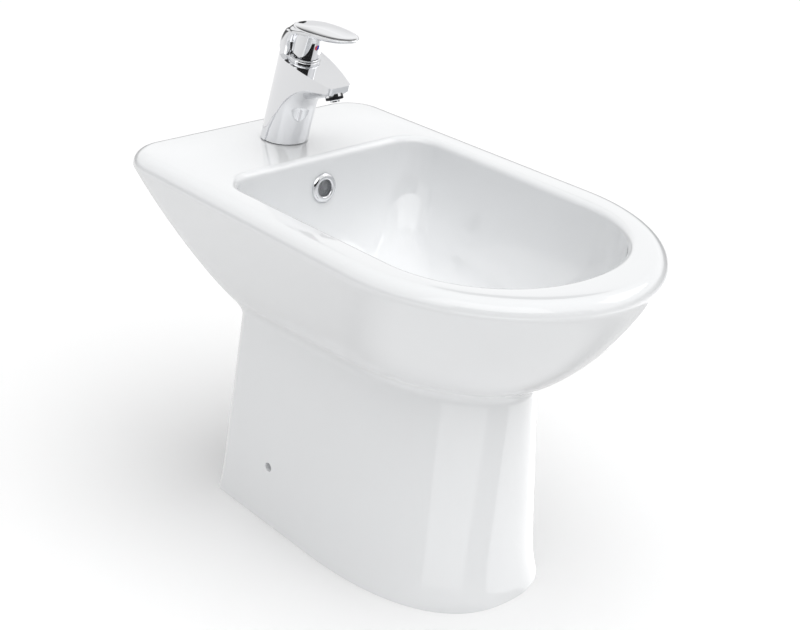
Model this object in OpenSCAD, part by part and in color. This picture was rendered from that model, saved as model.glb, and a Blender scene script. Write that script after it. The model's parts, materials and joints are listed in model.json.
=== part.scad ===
// Floor standing bidet: a vitreous china pan and pedestal in one casting, a single-lever
// mixer on its deck, a push-open waste in its basin and a bottle trap in its pedestal.
// Millimetres. The front faces -Y, the wall is on the +Y side and the floor is z = 0.

/* [Rim] */
// Height of the rim above the floor
rim_h = 400; // [390:1:410]
// Width over the rim
rim_w = 355; // [350:1:362]
// Length over the rim, front to back
rim_l = 586; // [580:1:596]
// Width of the rim at its back edge
rim_back_w = 344; // [336:1:348]
// Place of the widest point, where the sides turn into the nose
rim_turn_y = -92; // [-105:1:-80]
// Fullness of the nose, where 2 is an ellipse
rim_nose = 1.95; // [1.8:0.05:2.3]
// Radius of the back corners in plan
rim_corner_r = 47; // [40:1:52]
// Radius of the rolled outer edge
rim_roll_r = 15; // [12:1:18]

/* [Pedestal] */
// Height of the waist between bowl and pedestal
neck_h = 246; // [242:1:250]
// Half width of the waist at its front shoulder
neck_half_w = 99; // [96:1:102]
// Half width of the waist at its back
neck_back_half_w = 106; // [103:1:108]
// Back face of the waist
neck_back_y = 164; // [160:1:168]
// Front of the waist
neck_front_y = -171; // [-174:1:-168]
// Half width of the foot at its front shoulder
foot_half_w = 110; // [107:1:113]
// Half width of the foot at its back
foot_back_half_w = 102; // [100:1:104]
// Back face of the foot
foot_back_y = 195; // [190:1:198]
// Front of the foot
foot_front_y = -176; // [-180:1:-172]
// How far the last of the foot flares out
foot_flare = 5.5; // [3:0.5:7]
// Height over which the foot flares
foot_flare_h = 45; // [35:1:55]
// Radius of the side holes for the floor screws
screw_hole_r = 5.3; // [4.5:0.1:6]
// Distance of those holes behind the middle
screw_hole_y = 98; // [90:1:105]
// Height of those holes
screw_hole_h = 69; // [60:1:80]

/* [Basin] */
// Half width of the opening
bowl_half_w = 136.5; // [133:0.5:139]
// Back of the opening
bowl_back_y = 148; // [145:1:151]
// Front of the opening
bowl_front_y = -241; // [-244:1:-238]
// Radius of the opening's back corners
bowl_corner_r = 36; // [30:1:40]
// Radius of the rolled inner edge
lip_r = 8; // [6:1:9]
// Height of the basin's floor at its edge
bowl_floor_h = 268; // [264:1:270]
// Thickness of the china
wall = 13; // [11:1:14]
// Height of the overflow hole
overflow_h = 363; // [360:1:366]
// Radius of the overflow hole
overflow_hole_r = 11.2; // [10.8:0.1:12]
// Place of the waste, front to back
waste_y = 10; // [5:1:15]
// Radius of the hole in the china for the waste
waste_hole_r = 22.5; // [21.5:0.5:23]

/* [Mixer] */
// Place of the mixer, front to back
tap_y = 216; // [212:1:220]
// Radius of the hole in the deck for the mixer
tap_hole_r = 17.5; // [17:0.5:18]
// Forward lean of the mixer, degrees
tap_lean = 15.5; // [14:0.5:17]
// Radius of the mixer's round base
tap_base_r = 26; // [25.6:0.1:26.2]
// Height of the flat top along the leaning axis
tap_top_h = 104; // [102:1:106]
// Half width of the flat top
tap_half_w = 26.6; // [26.4:0.1:27.2]
// Reach of the spout forward of the leaning axis
spout_reach = 64.5; // [63.5:0.5:65.5]
// Half width of the spout's end
spout_end_half_w = 15.5; // [15:0.25:16]
// Half width of the lever's paddle
paddle_half_w = 23.5; // [22:0.5:25]
// Forward end of the lever's paddle, from the middle of the bidet
paddle_tip_y = 109; // [108:1:111]
// Length of the paddle
paddle_l = 88; // [86:1:89]
// Height of the paddle above the deck
paddle_h = 138; // [137:0.5:139]
// Radius of the lever's round hub
hub_r = 16.2; // [16:0.1:16.8]
// Travel of the lever, closed to full flow, degrees
lift_angle = 18; // [16:1:18]

/* [Waste and trap] */
// Radius of the waste's threaded tube
tube_r = 20.8; // [20:0.1:21]
// Radius of the waste's flange
flange_r = 32; // [31:0.5:33]
// Outer radius of the trap's pipes
pipe_r = 16; // [15.8:0.1:16.2]
// Radius of the trap's bottle
bottle_r = 33; // [31:0.5:34]
// Height of the trap's outlet pipe above the floor
outlet_h = 132; // [128:1:136]
// Back end of the outlet pipe
outlet_end_y = 200; // [196:1:204]

/* [Hidden] */

china = "white";
chrome = "silver";
rubber = "dimgray";
fit = 0.1;
gap = 0.3;
far = 400;
round_fn = 96;
small_fn = 48;

// Steps round one outline of the china: nose, each side, each corner and the back.
nose_steps = 24;
side_steps = 3;
corner_steps = 5;
back_steps = 3;

function mix(a, b, k) = a + (b - a) * k;
function signed_pow(v, e) = sign(v) * pow(abs(v), e);

// An outline is [front half width, back half width, back, front, turn, nose, corner].
// It has straight sides and back, round back corners and a rounded nose.
function outline(s, z) =
    let (w = s[0], wb = s[1], yb = s[2], yf = s[3], yt = s[4], n = s[5], c = s[6])
    concat(
        [for (i = [0:nose_steps]) let (t = 180 * i / nose_steps)
            [w * signed_pow(cos(t), 2 / n), yt - (yt - yf) * pow(sin(t), 2 / n), z]],
        [for (i = [1:side_steps]) let (k = i / side_steps)
            [-mix(w, wb, k), mix(yt, yb - c, k), z]],
        [for (i = [1:corner_steps]) let (a = 180 - 90 * i / corner_steps)
            [c - wb + c * cos(a), yb - c + c * sin(a), z]],
        [for (i = [1:back_steps]) let (k = i / back_steps)
            [mix(c - wb, wb - c, k), yb, z]],
        [for (i = [1:corner_steps]) let (a = 90 - 90 * i / corner_steps)
            [wb - c + c * cos(a), yb - c + c * sin(a), z]],
        [for (i = [1:side_steps - 1]) let (k = i / side_steps)
            [mix(wb, w, k), mix(yb - c, yt, k), z]]);

// The same outline moved outwards by d.
function grown(s, d) = s + [d, d, d, -d, 0, 0, d];

// A blend of two outlines with its own share for sides, back, front and corners.
function blended(a, b, side, back, front) =
    let (k = [side, side, back, front, front, front, side])
    [for (i = [0:6]) mix(a[i], b[i], k[i])];

// A closed solid through a stack of outlines with equal counts of points.
module loft(rings) {
    n = len(rings[0]);
    m = len(rings);
    faces = concat(
        [[for (i = [n - 1:-1:0]) i]],
        [for (j = [0:m - 2]) for (i = [0:n - 1])
            [j * n + i, (j + 1) * n + (i + 1) % n, (j + 1) * n + i]],
        [for (j = [0:m - 2]) for (i = [0:n - 1])
            [j * n + i, j * n + (i + 1) % n, (j + 1) * n + (i + 1) % n]],
        [[for (i = [0:n - 1]) (m - 1) * n + i]]);
    polyhedron(points = [for (r = rings) for (p = r) p], faces = faces, convexity = 12);
}

// A round rod between two points.
module rod(a, b, r) {
    d = b - a;
    translate(a)
        rotate([0, acos(d[2] / norm(d)), atan2(d[1], d[0])])
            cylinder(h = norm(d), r = r, $fn = 32);
}

// A round post about Z between two heights.
module post(r, z0, z1, fn = small_fn) {
    translate([0, 0, z0]) cylinder(h = z1 - z0, r = r, $fn = fn);
}

// A round ring about Z between two heights.
module ring(r_out, r_in, z0, z1) {
    turned([[r_in, z0], [r_out, z0], [r_out, z1], [r_in, z1]]);
}

// A turned shape from (radius, height) points.
module turned(points) {
    rotate_extrude($fn = round_fn) polygon(points);
}

// Points of a quarter-like arc in (radius, height), about a centre on the axis.
function arc(r, centre, a0, a1, steps) =
    [for (i = [0:steps]) let (a = mix(a0, a1, i / steps)) [r * cos(a), centre + r * sin(a)]];

// ---------------------------------------------------------------- china

roll_z = rim_h - rim_roll_r;
blend_low = neck_h - 14;
blend_high = neck_h + 8;

rim_outline = [rim_w / 2, rim_back_w / 2, rim_l / 2, -rim_l / 2, rim_turn_y, rim_nose,
    rim_corner_r];
neck_outline = [neck_half_w, neck_back_half_w, neck_back_y, neck_front_y, 8, 1.95, 25];
foot_outline = [foot_half_w, foot_back_half_w, foot_back_y, foot_front_y, 2, 2.45, 14];
opening_outline = [bowl_half_w, bowl_half_w, bowl_back_y, bowl_front_y, -107, 2.1,
    bowl_corner_r];
floor_outline = [62, 62, waste_y + 62, -118, -25, 2, 52];

// Share of the way from waist to rim at height z, for a bowl of fullness p and q.
function swell(z, p, q) = pow(1 - pow(1 - (z - neck_h) / (roll_z - neck_h), p), 1 / q);
function flank(z, p, q) =
    z >= blend_high ? swell(z, p, q)
    : z <= blend_low ? 0
    : swell(blend_high, p, q) * pow((z - blend_low) / (blend_high - blend_low), 2);

function pedestal_outline(z) =
    let (k = min(z, neck_h) / neck_h,
        f = foot_flare * pow(max(0, 1 - z / foot_flare_h), 2))
    mix(foot_outline, neck_outline, k) + [f / 2, f / 2, 0, -f, 0, 0, 0];

function outer_outline(z) =
    blended(pedestal_outline(z), rim_outline,
        flank(z, 1.04, 1.31), flank(z, 1.1, 1.18), flank(z, 1.25, 1.36));

// Share of the way from the opening to the floor of the basin at height z.
function dip(z, p, q) =
    1 - pow(1 - pow((rim_h - lip_r - z) / (rim_h - lip_r - bowl_floor_h), p), 1 / q);
function bowl_outline(z) =
    blended(opening_outline, floor_outline, dip(z, 2.2, 1.6), dip(z, 2.6, 1.8),
        dip(z, 1.9, 1.5));

pedestal_heights = [0, 3, 8, 15, 24, 34, 45, 80, 130, 180, 215];
waist_heights = [blend_low, blend_low + 5, blend_low + 10, blend_low + 14,
    blend_low + 18, blend_high];
bowl_heights = [neck_h + 14, neck_h + 21, neck_h + 31, neck_h + 44, neck_h + 60,
    neck_h + 78, neck_h + 98, neck_h + 118, roll_z];
basin_drops = [8, 20, 34, 50, 66, 80, 91, 100, 107, 112, 115];

outer_rings = concat(
    [for (z = pedestal_heights) outline(outer_outline(z), z)],
    [for (z = waist_heights) outline(outer_outline(z), z)],
    [for (z = bowl_heights) outline(outer_outline(z), z)],
    [for (a = [18:18:90])
        outline(grown(rim_outline, -rim_roll_r * (1 - cos(a))),
            roll_z + rim_roll_r * sin(a))]);
basin_rings = concat(
    [for (a = [90:-22.5:0])
        outline(grown(opening_outline, lip_r * (1 - cos(a))),
            rim_h - lip_r + lip_r * sin(a))],
    [for (d = basin_drops) outline(bowl_outline(rim_h - lip_r - d), rim_h - lip_r - d)],
    [outline(floor_outline, bowl_floor_h)],
    [outline(grown(floor_outline, -20), bowl_floor_h - 3)]);

// The room inside the pedestal, from its ceiling down to the open foot.
ceiling_h = 248;
room_heights = [ceiling_h, 210, 150, 90, 45, 24, 8, 0];
room_rings = [for (z = room_heights)
    outline(grown(pedestal_outline(z), -wall) + [0, 0, 0, 0, 0, 0, wall - 4], z)];

// The room behind the basin, under the deck, seen from the side as (y, z) points.
deck_under_h = rim_h - 17;
function basin_back(z) = bowl_outline(max(z, bowl_floor_h))[2] + wall + 1;
function skin_back(z) = outer_outline(min(z, roll_z))[2] - 1.3 * wall;
room_levels = [deck_under_h, 360, 340, 320, 302, 288, 278];
room_floor = 200;
room_front = concat(
    [for (z = room_levels) [basin_back(z), z]],
    [[basin_back(bowl_floor_h), 262], [basin_back(bowl_floor_h), room_floor]]);
room_back = concat(
    [[skin_back(room_floor), room_floor]],
    [for (z = [243, 262, 285, 310, 335, 360, deck_under_h]) [skin_back(z), z]]);
back_room_half_w = 90;

// The plumber's window through the back, as (y, z) points.
window_half_w = 62;
window = [[145, 45], [145, 240], [150, 262], [174, 300], [188, 332],
    [rim_l / 2 + 5, 332], [rim_l / 2 + 5, 45]];

// The overflow passage runs in a rib behind the basin, then in one under it.
rib_half_w = 14;
rib_depth = 26;
rib_end_y = 118;
rib_front = concat(
    [for (z = room_levels) [basin_back(z) + rib_depth, z]],
    [[rib_end_y + 12, 262], [rib_end_y + 6, ceiling_h], [rib_end_y + 6, room_floor]]);
passage = [[0, 161, 370], [0, 143, 296], [0, 96, 238], [0, waste_y, 238]];
passage_r = 6.5;
boss_r = 42;
boss_low_h = 226;
boss_high_h = ceiling_h + 4;
recess_r = flange_r + 2;
recess_h = 258;
overflow_tip = 4.8;
overflow_seat_r = 17.2;
overflow_depth = 16;

// Lengthwise extrusion of (y, z) points across the middle plane.
module across(points, half_w) {
    rotate([90, 0, 90])
        translate([0, 0, -half_w])
            linear_extrude(height = 2 * half_w) polygon(points);
}

// Axis square to the basin's back wall at the overflow.
module at_overflow() {
    translate([0, bowl_outline(overflow_h)[2], overflow_h])
        rotate([90 - overflow_tip, 0, 0]) children();
}

// The back room leaves a rib standing against the middle of the basin's back.
module back_room_space() {
    across(concat(rib_front, room_back), back_room_half_w);
    for (side = [-1, 1])
        translate([side * (back_room_half_w + rib_half_w) / 2, 0, 0])
            across(concat(room_front, room_back), (back_room_half_w - rib_half_w) / 2);
}

// The china is one casting, kept as three solids that meet face to face: a pedestal below
// the waist, a bowl above it and a deck behind the bowl.
deck_front_y = 190;

module above_waist() {
    translate([-far, -far, neck_h]) cube([2 * far, 2 * far, far]);
}

module behind_bowl() {
    translate([-far, deck_front_y, neck_h]) cube([2 * far, far, far]);
}

// The boss round the waste and the lower rib of the overflow passage.
module boss_and_rib() {
    translate([0, waste_y, 0]) post(boss_r, boss_low_h, boss_high_h, round_fn);
    translate([-rib_half_w, waste_y, boss_low_h])
        cube([2 * rib_half_w, rib_end_y - waste_y, boss_high_h - boss_low_h]);
}

module china_shell() {
    loft(concat(room_rings, outer_rings, basin_rings));
}

module ceramic_pedestal() {
    color(china)
        difference() {
            china_shell();
            above_waist();
            across(window, window_half_w);
            rod([-far / 2, screw_hole_y, screw_hole_h], [far / 2, screw_hole_y, screw_hole_h],
                screw_hole_r);
        }
}

module ceramic_bowl() {
    color(china)
        difference() {
            union() {
                difference() {
                    intersection() {
                        china_shell();
                        above_waist();
                    }
                    behind_bowl();
                    back_room_space();
                    across(window, window_half_w);
                }
                boss_and_rib();
            }
            for (i = [0:2]) rod(passage[i], passage[i + 1], passage_r);
            at_overflow() {
                post(overflow_hole_r, -overflow_depth, 20);
                post(overflow_seat_r, 0, 20);
            }
            translate([0, waste_y, 0]) {
                post(waste_hole_r, boss_low_h - 5, rim_h, round_fn);
                post(recess_r, recess_h, rim_h, round_fn);
            }
        }
}

module ceramic_deck() {
    color(china)
        difference() {
            intersection() {
                china_shell();
                behind_bowl();
            }
            back_room_space();
            across(window, window_half_w);
            translate([0, tap_y, 0]) post(tap_hole_r, deck_under_h - 5, rim_h + 5, round_fn);
        }
}

// ---------------------------------------------------------------- overflow

overflow_face_r = 16.5;
overflow_bore_r = 9.6;

module overflow_ring() {
    color(chrome)
        at_overflow() {
            rotate_extrude($fn = round_fn)
                polygon([[overflow_bore_r, 3.2], [overflow_bore_r + 1.6, 4],
                    [overflow_face_r - 2, 3.4], [overflow_face_r - 0.4, 2.2],
                    [overflow_face_r, 0.9], [overflow_face_r, 0.1],
                    [overflow_hole_r - gap, 0.1], [overflow_hole_r - gap, -overflow_depth + 3],
                    [overflow_bore_r, -overflow_depth + 3]]);
        }
}

// ---------------------------------------------------------------- mixer body

seal_h = 1.2;
pivot_h = tap_top_h + 5;
chamber_r = 12.9;
chamber_low = tap_top_h - 30;
nut_bore_r = 15.6;
nut_bore_low = tap_top_h - 7;
inlet_r = 4.6;
inlet_x = 7;
inlet_y = -3;
inlet_depth = 13;
stud_r = 4;
stud_y = 9;
tap_low = -12;
nozzle_lean = 35.5;
nozzle_y = -56.5;
nozzle_h = 91.5;
nozzle_socket_r = 8.8;
nozzle_socket_h = 5;
nozzle_boss_r = nozzle_socket_r + 1.1;
nozzle_boss_h = 6;
collar_face = -3.3;
neck_r = tap_base_r - 0.8;
neck_inset = 1.2;
inlet_ports = [[-inlet_x, -1], [inlet_x, -1]];
outlet_port = [0, -8];
inlet_way_r = 3.2;
outlet_way_r = 3.6;

// The mixer's own frame: origin at the deck, Z along the leaning axis, spout towards -Y.
module in_tap() {
    translate([0, tap_y, rim_h]) rotate([tap_lean, 0, 0]) children();
}

// The nozzle's frame: +Z runs up into the spout, water leaves along -Z.
module in_nozzle() {
    in_tap() translate([0, nozzle_y, nozzle_h]) rotate([-nozzle_lean, 0, 0]) children();
}

// Plan of the mixer seen along its axis: a round back and sides that draw in to the spout.
plan_back = tap_base_r + 1.5;
plan_steps = 14;
function plan_outline(d) = concat(
    [for (i = [0:plan_steps]) let (a = 180 * i / plan_steps)
        [(tap_half_w + d) * cos(a), (plan_back + d) * sin(a)]],
    [for (i = [1:6]) let (k = i / 6)
        [-mix(tap_half_w, spout_end_half_w, pow(k, 1.8)) - d, -(spout_reach - 5) * k]],
    [for (a = [180:30:360])
        [(spout_end_half_w - 5) * sign(cos(a)) * (abs(cos(a)) < 0.01 ? 0 : 1) + (5 + d) * cos(a),
            -(spout_reach - 5) + (5 + d) * sin(a)]],
    [for (i = [5:-1:1]) let (k = i / 6)
        [mix(tap_half_w, spout_end_half_w, pow(k, 1.8)) + d, -(spout_reach - 5) * k]]);

// Lower edge of the cape, an arch that sweeps from the spout's end down to the heel.
plan_front_y = -spout_reach - 2;
arch = [[plan_front_y, 97], [-58, 96.3], [-50, 94.3], [-40, 89.8], [-30, 82.8], [-20, 72.6],
    [-12, 60], [-6, 45.5], [-1, 29], [2.5, 13], [4.5, tap_low]];

// Underside of the spout, square to the nozzle, as a height at a distance from the axis.
function underside(r) =
    nozzle_h + collar_face / cos(nozzle_lean) + (r + nozzle_y) * tan(nozzle_lean);

// The round neck bends forward under the cape until it runs along that underside. The bend
// is a hair fatter than the straight stretches, which both end inside it.
bend_extra = 0.05;
bend_lap = 2;
bend_in_r = 28;
bend_r = bend_in_r + neck_r;
bend_turn = 90 - nozzle_lean;
bend_low = underside(neck_r) - bend_in_r * tan(bend_turn / 2);
belly_l = 60;

// The mixer's plan, moved inwards, as a tall solid.
module plan_solid(inset) {
    translate([0, 0, tap_low - 1])
        linear_extrude(height = tap_top_h - tap_low + 10) polygon(plan_outline(-inset));
}

// The cape between its arch and the flat top.
module cape() {
    intersection() {
        plan_solid(0);
        across(concat(arch, [[plan_back + 2, tap_low], [plan_back + 2, tap_top_h],
            [plan_front_y, tap_top_h]]), tap_half_w + 1);
    }
}

// The round neck: upright, then bent forward, then straight to the nozzle.
module neck() {
    intersection() {
        plan_solid(neck_inset);
        union() {
            post(neck_r, tap_low, bend_low + bend_lap, round_fn);
            translate([0, -bend_r, bend_low])
                rotate([90, 0, 90])
                    rotate_extrude(angle = bend_turn, $fn = round_fn)
                        translate([bend_r, 0])
                            circle(r = neck_r + bend_extra, $fn = round_fn);
            translate([0, -bend_r, bend_low])
                rotate([bend_turn, 0, 0])
                    translate([0, bend_r, 0]) post(neck_r, -bend_lap, belly_l, round_fn);
        }
        translate([-far / 2, -far / 2, tap_low - 1])
            cube([far, far, tap_top_h - tap_low]);
    }
}

module tap_body() {
    color(chrome)
        difference() {
            union() {
                in_tap() {
                    cape();
                    neck();
                }
                in_nozzle() post(nozzle_boss_r, collar_face, nozzle_boss_h, 64);
            }
            translate([-60, tap_y - 80, rim_h - 40]) cube([120, 160, 40 + seal_h]);
            in_tap() {
                translate([0, 0, chamber_low]) cylinder(h = 60, r = chamber_r, $fn = 64);
                translate([0, 0, nut_bore_low]) cylinder(h = 60, r = nut_bore_r, $fn = 64);
                for (p = inlet_ports)
                    rod([p[0], -0.2, 10.4], [p[0], p[1], chamber_low + 4], inlet_way_r);
                rod([outlet_port[0], outlet_port[1], chamber_low + 3],
                    [0, nozzle_y + 3, nozzle_h + 5], outlet_way_r);
            }
            in_nozzle()
                translate([0, 0, -20])
                    cylinder(h = 20 + nozzle_socket_h, r = nozzle_socket_r, $fn = 64);
            for (side = [-1, 1])
                translate([side * inlet_x, tap_y + inlet_y, rim_h])
                    cylinder(h = inlet_depth, r = inlet_r, $fn = 48);
            translate([0, tap_y + stud_y, rim_h])
                cylinder(h = inlet_depth + 2, r = stud_r + fit / 2, $fn = 48);
        }
}

// ---------------------------------------------------------------- mixer fixing

stud_low = rim_h - 34;
washer_r = 22;
washer_h = 3;
plate_h = 2;
nut_h = 7;
nut_r = 7.6;
hose_slot_half_w = 12.5;
hose_slot_back = 3;

module tap_base_seal() {
    color(rubber)
        translate([0, tap_y, 0]) ring(tap_base_r - 2, tap_hole_r - 1, rim_h, rim_h + seal_h);
}

module fixing_stud() {
    color(chrome)
        translate([0, tap_y + stud_y, 0]) post(stud_r, stud_low, rim_h + inlet_depth + 1);
}

// A horseshoe that lets the two hoses pass in front of the stud.
module horseshoe(r, z0, z1) {
    translate([0, tap_y, 0])
        difference() {
            post(r, z0, z1, round_fn);
            translate([-hose_slot_half_w, -2 * r, z0 - 1])
                cube([2 * hose_slot_half_w, 2 * r + hose_slot_back, z1 - z0 + 2]);
            translate([0, stud_y, 0]) post(stud_r + gap, z0 - 1, z1 + 1);
        }
}

module fixing_rubber_washer() {
    color(rubber) horseshoe(washer_r, deck_under_h - washer_h, deck_under_h);
}

module fixing_plate() {
    color(chrome)
        horseshoe(washer_r - 1, deck_under_h - washer_h - plate_h, deck_under_h - washer_h);
}

module fixing_nut() {
    low = deck_under_h - washer_h - plate_h - nut_h;
    color(chrome)
        translate([0, tap_y + stud_y, 0])
            difference() {
                post(nut_r, low, low + nut_h, 6);
                post(stud_r + fit / 2, low - 1, low + nut_h + 1);
            }
}

// ---------------------------------------------------------------- cartridge

seat_h = 2;
housing_low = chamber_low + seat_h;
plate_top = housing_low + 8;
housing_r = chamber_r - fit;
housing_in_r = 10.8;
housing_roof = nut_bore_low - 1;
housing_neck_r = 11;
neck_top = nut_bore_low + 4;
carrier_r = 7.6;
port_r = 2.6;
disc_inlets = [[-3.6, -1.2], [3.6, -1.2]];
disc_outlet = [0, 3];
disc_inlet_r = 1.5;
disc_outlet_r = 2;
fixed_top = plate_top + 3.5;
moving_low = fixed_top + fit;
moving_top = moving_low + 4.4;
moving_r = 7;
moving_y = 2.6;
stem_half_w = 3;
stem_half_l = 2.5;
stem_top_half_l = 3.5;
stem_low = pivot_h - 18.5;
stem_top = pivot_h + 22;
slot_half_w = stem_half_w + 0.15;
carrier_low = moving_top + 0.4;
carrier_top = pivot_h + 4;
flange_top = housing_roof - gap;
pin_r = 1.5;
pin_half_l = 7;

module cartridge_seal() {
    color(rubber)
        in_tap()
            difference() {
                post(chamber_r - 0.4, chamber_low, housing_low, 64);
                for (p = concat(inlet_ports, [outlet_port]))
                    translate([p[0], p[1], 0])
                        post(port_r, chamber_low - 1, housing_low + 1, 32);
            }
}

module cartridge_housing() {
    color("whitesmoke")
        in_tap()
            difference() {
                turned([[0, housing_low], [housing_r, housing_low],
                    [housing_r, nut_bore_low], [housing_neck_r, nut_bore_low],
                    [housing_neck_r, neck_top], [carrier_r + fit, neck_top],
                    [carrier_r + fit, housing_roof], [housing_in_r, housing_roof],
                    [housing_in_r, plate_top], [0, plate_top]]);
                for (i = [0, 1])
                    rod([inlet_ports[i][0], inlet_ports[i][1], housing_low - 1],
                        [disc_inlets[i][0], disc_inlets[i][1], plate_top + 1], disc_inlet_r);
                rod([outlet_port[0], outlet_port[1], housing_low - 1],
                    [disc_outlet[0], disc_outlet[1], plate_top + 1], disc_outlet_r);
            }
}

module fixed_disc() {
    color("ivory")
        in_tap()
            difference() {
                post(housing_in_r - fit, plate_top, fixed_top, 64);
                for (p = disc_inlets)
                    translate([p[0], p[1], 0])
                        post(disc_inlet_r, plate_top - 1, fixed_top + 1, 32);
                translate([disc_outlet[0], disc_outlet[1], 0])
                    post(disc_outlet_r, plate_top - 1, fixed_top + 1, 32);
            }
}

// The disc has a mixing pocket below and a pocket for the stem's foot above.
module moving_disc() {
    color("ivory")
        in_tap()
            difference() {
                translate([0, moving_y, 0]) post(moving_r, moving_low, moving_top, 64);
                translate([0, moving_y + 1.6, 0]) post(3.4, moving_low - 1, moving_low + 1.2);
                translate([-slot_half_w, -3.3, moving_low + 1.9])
                    cube([2 * slot_half_w, 6.6, 5]);
            }
}

module cartridge_carrier() {
    color("whitesmoke")
        in_tap()
            difference() {
                union() {
                    post(housing_in_r - 2 * fit, carrier_low, flange_top, 64);
                    post(carrier_r, carrier_low, carrier_top, 64);
                }
                translate([-slot_half_w, -8.6, carrier_low - 1])
                    cube([2 * slot_half_w, 16.8, carrier_top - carrier_low + 2]);
                rod([-20, 0, pivot_h], [20, 0, pivot_h], pin_r + fit / 2);
            }
}

module pivot_pin() {
    color(chrome) in_tap() rod([-pin_half_l, 0, pivot_h], [pin_half_l, 0, pivot_h], pin_r);
}

module lever_stem() {
    color("goldenrod")
        in_tap()
            difference() {
                union() {
                    translate([-stem_half_w, -stem_half_l, stem_low])
                        cube([2 * stem_half_w, 2 * stem_half_l, stem_top - stem_low]);
                    translate([-stem_half_w, -stem_top_half_l, pivot_h - 2])
                        cube([2 * stem_half_w, 2 * stem_top_half_l, stem_top - pivot_h + 2]);
                }
                rod([-20, 0, pivot_h], [20, 0, pivot_h], pin_r + fit);
            }
}

module cartridge_nut() {
    color("goldenrod")
        in_tap()
            difference() {
                ring(nut_bore_r - 2 * fit, housing_neck_r + fit, nut_bore_low, neck_top);
                for (a = [45, 135])
                    rotate([0, 0, a])
                        translate([-20, -1.5, neck_top - 1.5]) cube([40, 3, 3]);
            }
}

// ---------------------------------------------------------------- lever

shroud_r = 18;
shroud_top = tap_top_h + 4.4;
belt_r = 11.8;
belt_open_r = 9.2;
cavity_r = 12.6;
shoulder_r = 18.6;
hub_gap = 2.5;
shoulder_drop = 4.2;
grub_h = tap_top_h + 20.5;
grub_r = 2.5;
grub_tip = -stem_top_half_l - fit;
index_r = 3.2;
index_depth = 2.2;
index_h = 1.6;
lever_steps = 44;

// The ring under the lever ends in a ball-shaped belt about the lever's pivot.
module shroud_ring() {
    color(chrome)
        in_tap()
            turned(concat(
                [[housing_neck_r + gap, neck_top], [nut_bore_r - 2 * fit, neck_top],
                    [nut_bore_r - 2 * fit, tap_top_h], [shroud_r, tap_top_h],
                    [shroud_r, tap_top_h + 1.6], [shroud_r - 0.7, tap_top_h + 1.9],
                    [shroud_r - 0.7, tap_top_h + 2.3], [shroud_r, tap_top_h + 2.6],
                    [shroud_r, shroud_top - 0.5], [shroud_r - 0.5, shroud_top]],
                arc(belt_r, pivot_h, asin((shroud_top - pivot_h) / belt_r),
                    acos(belt_open_r / belt_r), 8),
                [[belt_open_r, pivot_h + 3], [belt_open_r + 1, pivot_h],
                    [housing_neck_r + gap, pivot_h - 4]]));
}

// A level slice of the lever: [height above the deck, front, back, half width, widest].
function oval(s, inset) =
    [for (i = [0:lever_steps - 1]) let (a = -360 * i / lever_steps,
        half_l = sin(a) > 0 ? s[2] - s[4] : s[4] - s[1])
        [(s[3] - inset) * signed_pow(cos(a), 0.9),
            s[4] + (half_l - inset) * signed_pow(sin(a), 0.9), rim_h + s[0]]];

paddle_back_y = paddle_tip_y + paddle_l;
paddle_wide_y = paddle_tip_y + 0.6 * paddle_l;
lever_slices = [
    [paddle_h - 34, 189, 213, 23.6, 199],
    [paddle_h - 20, 186, 211, 23.2, 197.5],
    [paddle_h - 10, 178, 206.5, 23, 191],
    [paddle_h - 6, 165, 203, 23, 187],
    [paddle_h - 5, paddle_tip_y + 9, 201, paddle_half_w - 0.5, paddle_wide_y + 18],
    [paddle_h - 3, paddle_tip_y + 1, 199.5, paddle_half_w, paddle_wide_y + 12],
    [paddle_h - 1, paddle_tip_y, paddle_back_y, paddle_half_w, paddle_wide_y]];
paddle_top = [paddle_h, paddle_tip_y, paddle_back_y, paddle_half_w, paddle_wide_y];
// Insets and drops of the dished top.
dish = [[1, 0], [4, 0.6], [9, 1.3], [15, 1.8]];
lever_rings = concat([for (s = lever_slices) oval(s, 0)],
    [for (d = dish) oval(paddle_top - [d[1], 0, 0, 0, 0], d[0])]);

// The space below a plane that leans back by a degrees, h above the pivot.
module below(a, h) {
    translate([0, 0, pivot_h + h])
        rotate([a, 0, 0]) translate([-100, -100, -100]) cube([200, 200, 100]);
}

module lever_handle() {
    color(chrome)
        difference() {
            union() {
                loft(lever_rings);
                intersection() {
                    in_tap() post(hub_r, pivot_h - 6, pivot_h + 40, round_fn);
                    translate([-100, 0, rim_h]) cube([200, 400, paddle_h - 4]);
                }
            }
            in_tap() {
                intersection() {
                    post(shoulder_r, pivot_h - 30, pivot_h + 30, round_fn);
                    below(lift_angle / 2, hub_gap);
                }
                below(lift_angle, -shoulder_drop);
                translate([0, 0, pivot_h]) sphere(r = cavity_r, $fn = 64);
                translate([-stem_half_w - fit, -stem_top_half_l - fit, pivot_h])
                    cube([2 * (stem_half_w + fit), 2 * (stem_top_half_l + fit),
                        stem_top + 1 - pivot_h]);
                rod([0, -40, grub_h], [0, 0, grub_h], grub_r + fit / 2);
                rod([0, -40, grub_h], [0, -hub_r + index_depth, grub_h], index_r);
            }
        }
}

module grub_screw() {
    color(chrome)
        in_tap()
            difference() {
                rod([0, -hub_r + index_depth - 0.3, grub_h], [0, grub_tip, grub_h], grub_r);
                translate([0, -hub_r, grub_h])
                    rotate([-90, 0, 0]) cylinder(h = 5, r = 1.4, $fn = 6);
            }
}

// Half of the round index plug, on the left (-1) or on the right (1).
module index_half(side) {
    in_tap()
        intersection() {
            rod([0, -hub_r + 0.2, grub_h], [0, -hub_r + 0.2 + index_h, grub_h],
                index_r - fit);
            translate([side > 0 ? 0.02 : -20.02, -40, grub_h - 20]) cube([20, 40, 40]);
        }
}

module index_red() {
    color("red") index_half(-1);
}

module index_blue() {
    color("blue") index_half(1);
}

// ---------------------------------------------------------------- nozzle

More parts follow.
